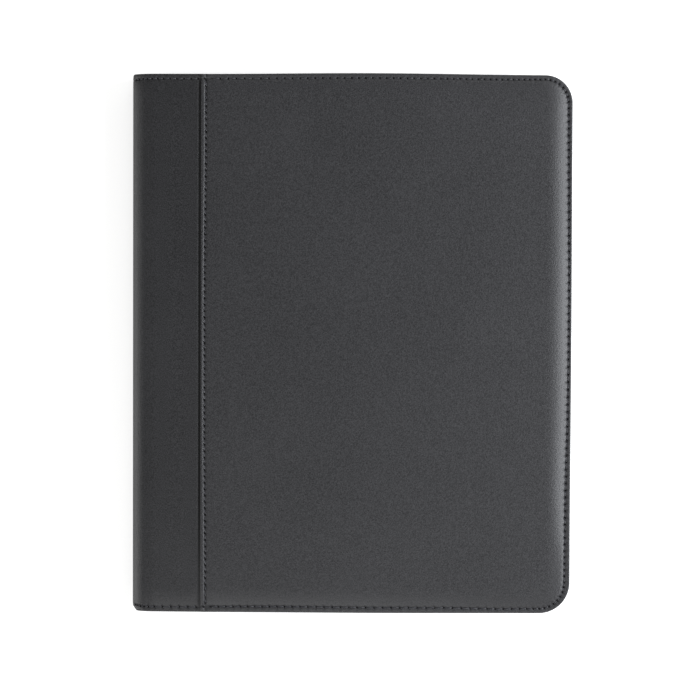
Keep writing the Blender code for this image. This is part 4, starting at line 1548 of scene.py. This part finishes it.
def shield():
    """Outline of a slider plate: a notched wide end that narrows to a round one."""
    points = []
    for angle in np.linspace(-math.pi / 2, math.pi / 2, 13):
        points.append(
            (SLIDE_X1 - 3.2 * MM + 3.2 * MM * math.cos(angle), 3.5 * MM * math.sin(angle))
        )
    points += [(SLIDE_MID - 1.2 * MM, 3.95 * MM), (SLIDE_X0 + 2.4 * MM, SLIDE_HALF)]
    points += [(SLIDE_X0 + 1.2 * MM, SLIDE_HALF), (SLIDE_X0 + 0.35 * MM, SLIDE_HALF - 0.5 * MM)]
    points += [(SLIDE_X0, SLIDE_HALF - 1.5 * MM), (SLIDE_X0 + 0.5 * MM, 1.2 * MM)]
    points.append((SLIDE_X0 + 1.1 * MM, 0.0))
    return points + [(x, -z) for x, z in points[13:-1][::-1]]


plates = [
    wall_slab("outer_plate", shield(), 3.62 * MM, 4.5 * MM, 0.3 * MM, crown=0.3 * MM),
    wall_slab("inner_plate", shield(), 7.4 * MM, 8.6 * MM, 0.3 * MM),
]
post = rounded(SLIDE_X0 + 0.4 * MM, SLIDE_X0 + 2.8 * MM, -1.05 * MM, 1.05 * MM, (0.9 * MM,) * 4)
plates.append(wall_slab("post", post, 4.3 * MM, 7.6 * MM, 0.05 * MM, step=0.9 * MM))
for up in (-1, 1):
    for outer, inner in ((4.3, 5.0), (6.9, 7.6)):
        z0, z1 = sorted((up * 3.25 * MM, up * (SLIDE_HALF - 0.15 * MM)))
        lip = rounded(SLIDE_X0 + 2.2 * MM, SLIDE_X1 - 3.2 * MM, z0, z1, (0.25 * MM,) * 4)
        lip = [(x, z * (1 - 0.1 * (x - SLIDE_X0) / (SLIDE_X1 - SLIDE_X0))) for x, z in lip]
        plates.append(wall_slab("lip", lip, outer * MM, inner * MM, 0.1 * MM))
arch = []
for part in np.linspace(0, 1, 17):
    angle = math.pi * part
    x = PIN_X - 3.3 * MM * math.cos(angle)
    arch.append((x, -HEIGHT / 2 + 3.9 * MM - 3.0 * MM * math.sin(angle) ** 0.6))
plates.append(
    band("bridge", arch, 0.7 * MM, -0.8 * MM, 0.8 * MM, lambda x, y, z: (x, y, MIDDLE + z))
)
slider = joined("zip_slider", plates)
dress(slider, black_nickel, "zip_slider", "slider_body")

# %% Puller and stops
PULL_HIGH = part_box("zip_puller")[1]
PIN_INSET = 2.25 * MM
TAB0, TAB1 = PULL_HIGH.x - 18.5 * MM, PULL_HIGH.x
tab_outline = [(TAB0, -2.5 * MM), (TAB0 + 3 * MM, -2.1 * MM), (TAB1 - 9 * MM, -2.55 * MM)]
for angle in np.linspace(-math.pi / 2, math.pi / 2, 11):
    tab_outline.append((TAB1 - 1.6 * MM + 1.6 * MM * math.cos(angle), 2.95 * MM * math.sin(angle)))
tab_outline += [(x, -z) for x, z in tab_outline[:3][::-1]]
slot_hole = rounded(
    TAB1 - 7.4 * MM, TAB1 - 1.9 * MM, -1.4 * MM, 1.4 * MM, (1.2 * MM,) * 4, 0.5 * MM
)[::-1]
parts = [
    wall_slab(
        "tab", tab_outline, PIN_INSET - 0.5 * MM, PIN_INSET + 0.5 * MM, 0.3 * MM, slot_hole
    )
]
for up in (-1, 1):
    z0, z1 = sorted((up * 1.25 * MM, up * 2.4 * MM))
    radii = (0.45 * MM, 0.3 * MM, 0.3 * MM, 0.45 * MM)
    arm = rounded(PIN_X - 0.75 * MM, TAB0 + 1.2 * MM, z0, z1, radii)
    parts.append(wall_slab("arm", arm, PIN_INSET - 0.5 * MM, PIN_INSET + 0.5 * MM, 0.2 * MM))
pin_path = [
    (PIN_X + 0.45 * MM * math.cos(a), -HEIGHT / 2 + PIN_INSET + 0.45 * MM * math.sin(a))
    for a in np.linspace(0, 2 * math.pi, 13)[:-1]
]
pin_points = [(x, y, MIDDLE + z) for z in (-1.4 * MM, 1.4 * MM) for x, y in pin_path]
pin_faces = [(k, (k + 1) % 12, 12 + (k + 1) % 12, 12 + k) for k in range(12)]
pin_faces += [tuple(range(12))[::-1], tuple(range(12, 24))]
parts.append(add_mesh("pin", pin_points, pin_faces))
puller = joined("zip_pull_tab", parts)
dress(puller, black_nickel, "puller", "zip_puller")
for node in ("front_top_stop", "back_top_stop", "bottom_stop"):
    set_look(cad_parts[node], black_nickel)

# %% [markdown]
# ## Boards
# Grey board, pressed from recycled paper, stiffens each cover and the spine. Its cut edge and
# face are flecked with fibres.

# %% Board material
grey_board, tree, shader, place = new_material("pressed_grey_board", roughness=0.9)
flecks = add_node(
    tree, "ShaderNodeTexNoise",
    {"Vector": place, "Scale": 700.0, "Detail": 6.0, "Roughness": 0.75},
)
spread = add_node(
    tree, "ShaderNodeMapRange", {"Value": flecks, "From Min": 0.35, "From Max": 0.65}
)
tone = add_node(
    tree, "ShaderNodeMix",
    {"Factor": spread, "A": linear("#7c766c"), "B": linear("#a39c90")},
    data_type="RGBA",
)
bump = add_node(tree, "ShaderNodeBump", {"Height": flecks, "Distance": 0.05 * MM})
feed(tree, shader, {"Base Color": tone, "Normal": bump})
for node in ("front_board", "back_board", "spine_board", "notepad_backing"):
    set_look(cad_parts[node], grey_board)

# %% [markdown]
# ## Pockets on the inside of the front cover
# A document pocket of thin leathercloth hangs on a welt round three sides. It carries three
# card pockets, one above the other, and has a round notch to grip the papers by. Each is cut
# from sheet with a turned hem, so each is a slab whose hem is a little thicker.

# %% Pocket leather
pocket_leather = pu_leather(
    "pocket_pu_leathercloth", "#1d1d20", "#26262a", 0.5, 0.9 * MM, 0.07 * MM
)


def inside_front(x, y, depth):
    """A point below the front cover's outer face."""
    return x, y, THICKNESS - depth


def inside_back(x, y, depth):
    """A point above the back cover's outer face."""
    return x, y, depth


def run_of(points, z, up):
    """A stitch path through plan points at one height."""
    dense = []
    for (ax, ay), (bx, by) in zip(points, points[1:]):
        count = max(1, round(math.dist((ax, ay), (bx, by)) / (1 * MM)))
        for part in np.linspace(0, 1, count + 1)[:-1]:
            dense.append(((ax + (bx - ax) * part, ay + (by - ay) * part, z), up))
    dense.append(((*points[-1], z), up))
    return dense


def three_sides(a, b, edge):
    """The line of a seam down the left side of a box, along its foot and up its right side."""
    left, right, low_y, high_y = a.x + edge, b.x - edge, a.y + edge, b.y - edge
    return [(left, high_y), (left, low_y), (right, low_y), (right, high_y)]


def box_depths(node):
    """Box of a node on the front cover, with its depths from the outer face."""
    node_low, node_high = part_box(node)
    return node_low, node_high, THICKNESS - node_high.z, THICKNESS - node_low.z


for node in ("pocket_side_left", "pocket_side_right", "pocket_bottom"):
    a, b, near, deep = box_depths(node)
    loop = rounded(a.x, b.x, a.y, b.y, (1.2 * MM,) * 4, 1 * MM)
    welt = slab(
        node + "_welt", loop, inside_front, flat(near), flat(deep),
        [((a.x + b.x) / 2, (a.y + b.y) / 2)], 0.9 * MM,
    )
    dress(welt, pocket_leather, "front_cover", node)

# %% Document pocket
POCKET0, POCKET1, POCKET_NEAR, POCKET_DEEP = box_depths("pocket_panel")
NOTCH_X = (POCKET0.x + POCKET1.x) / 2
NOTCH_R = 14 * MM
NOTCH_Y = POCKET1.y + 3 * MM
loop = rounded(POCKET0.x, POCKET1.x, POCKET0.y, POCKET1.y, (3 * MM,) * 4)
cut = math.asin(3 * MM / NOTCH_R)
notch = [
    (NOTCH_X + NOTCH_R * math.cos(a), NOTCH_Y + NOTCH_R * math.sin(a))
    for a in np.linspace(-cut, -math.pi + cut, 25)
]
beside_notch = [
    k for k, (x, y) in enumerate(loop)
    if abs(y - POCKET1.y) < 1e-6 and abs(x - NOTCH_X) > NOTCH_R + 1 * MM
]
last_right = max(k for k in beside_notch if loop[k][0] > NOTCH_X)
first_left = min(k for k in beside_notch if loop[k][0] < NOTCH_X)
loop = loop[: last_right + 1] + notch + loop[first_left:]
xs = np.arange(POCKET0.x + 3 * MM, POCKET1.x, 5 * MM)
hem_xs = np.arange(POCKET0.x + 6.6 * MM, POCKET1.x - 6 * MM, 2.5 * MM)


def pocket_face(x, y, inset):
    """Depth of the pocket's face, which stands proud at its turned hem."""
    hem = 0.18 * MM * (1 - smooth((inset - 7 * MM) / (0.6 * MM)))
    return POCKET_DEEP - 0.18 * MM + hem


pocket = slab(
    "document_pocket", loop, inside_front, flat(POCKET_NEAR), pocket_face,
    net(xs, POCKET0.y, POCKET1.y, 5 * MM)
    + net(hem_xs, POCKET1.y - 8.2 * MM, POCKET1.y - 6 * MM, 0.6 * MM),
)
dress(pocket, pocket_leather, "front_cover", "pocket_panel")
face_z = THICKNESS - POCKET_DEEP
inner_line = inward(loop, 1.8 * MM)
paths = [run_of([tuple(p) for p in inner_line] + [tuple(inner_line[0])], face_z, (0, 0, -1))]

# %% Card pockets
TOP_HEM = 1.6 * MM
for k in (1, 2, 3):
    node = f"card_pocket_{k}"
    a, b, near, deep = box_depths(node)
    loop = rounded(a.x, b.x, a.y, b.y, (2.5 * MM, 2.5 * MM, 1 * MM, 1 * MM))
    xs = np.arange(a.x + 2 * MM, b.x, 4 * MM)

    def card_face(x, y, inset, top=b.y, deep=deep):
        """The turned top hem is a little thicker than the rest."""
        return deep - 0.15 * MM * smooth((top - y - 5 * MM) / (0.5 * MM))

    card = slab(
        f"card_slot_{k}", loop, inside_front, flat(near), card_face,
        net(xs, a.y, b.y, 1.3 * MM), 0.2 * MM,
    )
    dress(card, pocket_leather, "front_cover", node)
    z = THICKNESS - deep
    edge = 1.5 * MM
    corners = three_sides(a, b, edge)
    seams = [corners] if k == 1 else [corners[:2], corners[2:]]
    paths += [run_of(seam, z + 0.1 * MM, (0, 0, -1)) for seam in seams]
    top_seam = [(a.x + edge, b.y - TOP_HEM), (b.x - edge, b.y - TOP_HEM)]
    paths.append(run_of(top_seam, z, (0, 0, -1)))
FINE_STITCH = {"Rise": 0.3 * MM, "Thread": 0.2 * MM, "Slant": 0.1}
fine = [even_stitches(path, 3.2 * MM) for path in paths]
sewn("pocket_stitches", fine, "front_cover", "pocket_panel", **FINE_STITCH)

# %% [markdown]
# ## Sleeve on the inside of the back cover
# The pad's cardboard back slides into a leathercloth sleeve, sewn down round three sides and
# open towards the head. It rises from its sewn margin over the board.

# %% Pad sleeve
SLEEVE0, SLEEVE1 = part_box("pad_sleeve")


def sleeve_top(x, y, inset):
    """Height of the sleeve over the lining, low along its three sewn sides."""
    sewn = min(x - SLEEVE0.x, SLEEVE1.x - x, y - SLEEVE0.y)
    rise = smooth((sewn - 1.3 * MM) / (1.7 * MM))
    low_z = LINING_BACK + 0.65 * MM
    return low_z + (SLEEVE1.z - low_z) * rise


loop = rounded(SLEEVE0.x, SLEEVE1.x, SLEEVE0.y, SLEEVE1.y, (3 * MM, 3 * MM, 0.6 * MM, 0.6 * MM))
SEWN_STEPS = MM * np.array([1.2, 1.7, 2.2, 2.7, 3.2])
xs = list(SLEEVE0.x + SEWN_STEPS)
xs += list(np.arange(SLEEVE0.x + 6 * MM, SLEEVE1.x - 5 * MM, 5 * MM))
xs += list(SLEEVE1.x - SEWN_STEPS[::-1])
ys = list(SLEEVE0.y + SEWN_STEPS)
ys += list(np.arange(SLEEVE0.y + 6 * MM, SLEEVE1.y - 1 * MM, 5 * MM))
sleeve = slab(
    "pad_sleeve_cloth", loop, inside_back,
    lambda x, y, d: sleeve_top(x, y, d) - 0.58 * MM, sleeve_top,
    [(x, y) for x in xs for y in ys], 0.25 * MM, (), 0.8 * MM,
)
dress(sleeve, pocket_leather, "back_cover", "pad_sleeve")
paths = [run_of(three_sides(SLEEVE0, SLEEVE1, 0.95 * MM), LINING_BACK + 0.62 * MM, (0, 0, 1))]
top_y = SLEEVE1.y - TOP_HEM
top_seam = [(SLEEVE0.x + 4 * MM, top_y), (SLEEVE1.x - 4 * MM, top_y)]
paths.append(run_of(top_seam, SLEEVE1.z, (0, 0, 1)))
fine = [even_stitches(path, 3.2 * MM) for path in paths]
sewn("sleeve_stitches", fine, "back_cover", "pad_sleeve", **FINE_STITCH)

# %% [markdown]
# ## Writing pad
# An A4 pad of uncoated paper on a board back, bound across the head with cloth tape. The cut
# edge of a pad shows its sheets, so they are really there: Geometry Nodes stack thin sheets and
# shift each by up to 0.12 mm, as after a trim. The ruling is printed: pale lines 16 mm apart,
# drawn on faces that look up, because the ping-pong of a node turns back at half that distance.

# %% Paper material
ruled_paper, tree, shader, place = new_material("uncoated_ruled_paper", roughness=0.85, ior=1.5)
parts_of = add_node(tree, "ShaderNodeSeparateXYZ", {"Vector": place}).outputs
facing = add_node(tree, "ShaderNodeNewGeometry").outputs["Normal"]
facing = add_node(tree, "ShaderNodeSeparateXYZ", {"Vector": facing}).outputs
upwards = add_node(tree, "ShaderNodeMath", {0: facing["Z"], 1: 0.9}, operation="GREATER_THAN")
HALF_GAP = 8 * MM
HALF_LINE = 0.22 * MM
FIRST_LINE = 0.118  # y above which nothing is printed
step = add_node(tree, "ShaderNodeMath", {0: parts_of["Y"], 1: HALF_GAP}, operation="PINGPONG")
line = add_node(tree, "ShaderNodeMath", {0: step, 1: HALF_LINE}, operation="LESS_THAN")
below = add_node(tree, "ShaderNodeMath", {0: parts_of["Y"], 1: FIRST_LINE}, operation="LESS_THAN")
shown = add_node(tree, "ShaderNodeMath", {0: line, 1: below}, operation="MULTIPLY")
shown = add_node(tree, "ShaderNodeMath", {0: shown, 1: upwards}, operation="MULTIPLY")
fibre = add_node(tree, "ShaderNodeTexNoise", {"Vector": place, "Scale": 900.0, "Detail": 5.0})
sheet_tone = add_node(
    tree, "ShaderNodeMix",
    {"Factor": fibre, "A": linear("#dcdad3"), "B": linear("#ecebe6")},
    data_type="RGBA",
)
printed = add_node(
    tree, "ShaderNodeMix",
    {"Factor": shown, "A": sheet_tone, "B": linear("#a9b4c4")},
    data_type="RGBA",
)
bump = add_node(tree, "ShaderNodeBump", {"Height": fibre, "Distance": 0.02 * MM})
feed(tree, shader, {"Base Color": printed, "Normal": bump})

# %% Stack of sheets
PAPER0, PAPER1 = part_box("notepad_paper")
PAPER_SHIFT = 0.12 * MM
SHEETS = 32


def paper_tree():
    """A stack of thin sheets with a small seeded shift."""
    tree, given = make_tree("stack_of_sheets", {"Wide": 0.21, "Long": 0.297, "Gap": 0.1 * MM})
    for label, kind, value in (
        ("Sheets", "NodeSocketInt", SHEETS), ("Shift", "NodeSocketFloat", PAPER_SHIFT),
        ("Thick", "NodeSocketFloat", 0.085 * MM), ("Seed", "NodeSocketInt", 7),
    ):
        tree.interface.new_socket(label, in_out="INPUT", socket_type=kind).default_value = value
    rise = add_node(tree, "ShaderNodeCombineXYZ", {"Z": given["Gap"]})
    column = add_node(tree, "GeometryNodeMeshLine", {"Count": given["Sheets"], "Offset": rise})
    where = add_node(tree, "GeometryNodeInputPosition")
    base = add_node(
        tree, "GeometryNodeSampleIndex",
        {"Geometry": given["Path"], "Value": where, "Index": 0},
        data_type="FLOAT_VECTOR",
    )
    column = add_node(tree, "GeometryNodeSetPosition", {"Geometry": column, "Offset": base})
    size = add_node(
        tree, "ShaderNodeCombineXYZ", {"X": given["Wide"], "Y": given["Long"], "Z": given["Thick"]}
    )
    leaf = add_node(tree, "GeometryNodeMeshCube", {"Size": size})
    leaves = add_node(tree, "GeometryNodeInstanceOnPoints", {"Points": column, "Instance": leaf})
    least = add_node(tree, "ShaderNodeMath", {0: given["Shift"], 1: -1.0}, operation="MULTIPLY")
    most = add_node(tree, "ShaderNodeCombineXYZ", {"X": given["Shift"], "Y": given["Shift"]})
    few = add_node(tree, "ShaderNodeCombineXYZ", {"X": least, "Y": least})
    chance = add_node(
        tree, "FunctionNodeRandomValue",
        {"Min": few, "Max": most, "Seed": given["Seed"]},
        data_type="FLOAT_VECTOR",
    )
    moved = add_node(
        tree, "GeometryNodeTranslateInstances",
        {"Instances": leaves, "Translation": chance},
    )
    return ended(tree, given, moved, False)


middle_x, middle_y = (PAPER0.x + PAPER1.x) / 2, (PAPER0.y + PAPER1.y) / 2
gap = (PAPER1.z - PAPER0.z) / SHEETS
foot_of_stack = (middle_x, middle_y, PAPER0.z + gap / 2)
sheets = grown(
    "pad_sheets", [[(foot_of_stack, (0, 0, 1)), ((middle_x, middle_y, PAPER1.z), (0, 0, 1))]],
    paper_tree(), ruled_paper, Wide=PAPER1.x - PAPER0.x - 2 * PAPER_SHIFT,
    Long=PAPER1.y - PAPER0.y - 2 * PAPER_SHIFT, Gap=gap, Thick=gap * 0.86,
)
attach(sheets, "back_cover")
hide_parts("notepad_paper")

# %% Binding tape and pen loop
binding_cloth = woven(
    "calendered_binding_cloth", "#222226", "#37373d", 0.6 * MM, 0.5, 0.1 * MM, True
)
BIND0, BIND1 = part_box("notepad_binding")
half = 0.15 * MM
bend = 0.5 * MM
path = [(BIND0.y, BIND1.z - half), (BIND1.y - half - bend, BIND1.z - half)]
for angle in np.linspace(0, math.pi / 2, 6)[1:]:
    path.append(
        (BIND1.y - half - bend + bend * math.sin(angle),
         BIND1.z - half - bend + bend * math.cos(angle))
    )
path.append((BIND1.y - half, BIND0.z))
binding = band(
    "pad_binding", path, 0.29 * MM, BIND0.x, BIND1.x, lambda y, z, x: (x, y, z), rim=0.08 * MM
)
dress(binding, binding_cloth, "back_cover", "notepad_binding")

elastic_web = woven("knitted_elastic_web", "#101013", "#2c2c31", 0.8 * MM, 0.62, 0.2 * MM, True)
LOOP0, LOOP1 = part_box("pen_loop")
middle_x = (LOOP0.x + LOOP1.x) / 2
radius = 5.2 * MM
centre_z = LOOP1.z - radius - 0.4 * MM
half_wide = (LOOP1.x - LOOP0.x) / 2 - 0.4 * MM
path = []
for angle in np.linspace(0, math.pi, 19):
    path.append((middle_x + half_wide * math.cos(angle), centre_z + radius * math.sin(angle)))
low_z = LOOP0.z + 0.4 * MM
turn_in = [(half_wide, 1.5 * MM), (half_wide - 0.5 * MM, 0.4 * MM), (half_wide - 1.6 * MM, 0.0)]
path += [(middle_x - wide, low_z + rise) for wide, rise in turn_in] + [(middle_x, low_z)]
path += [(middle_x + wide, low_z + rise) for wide, rise in turn_in[::-1]]
elastic = band(
    "elastic_pen_loop", path, 0.8 * MM, LOOP0.y, LOOP1.y, lambda x, z, y: (x, y, z), True,
)
dress(elastic, elastic_web, "back_cover", "pen_loop")
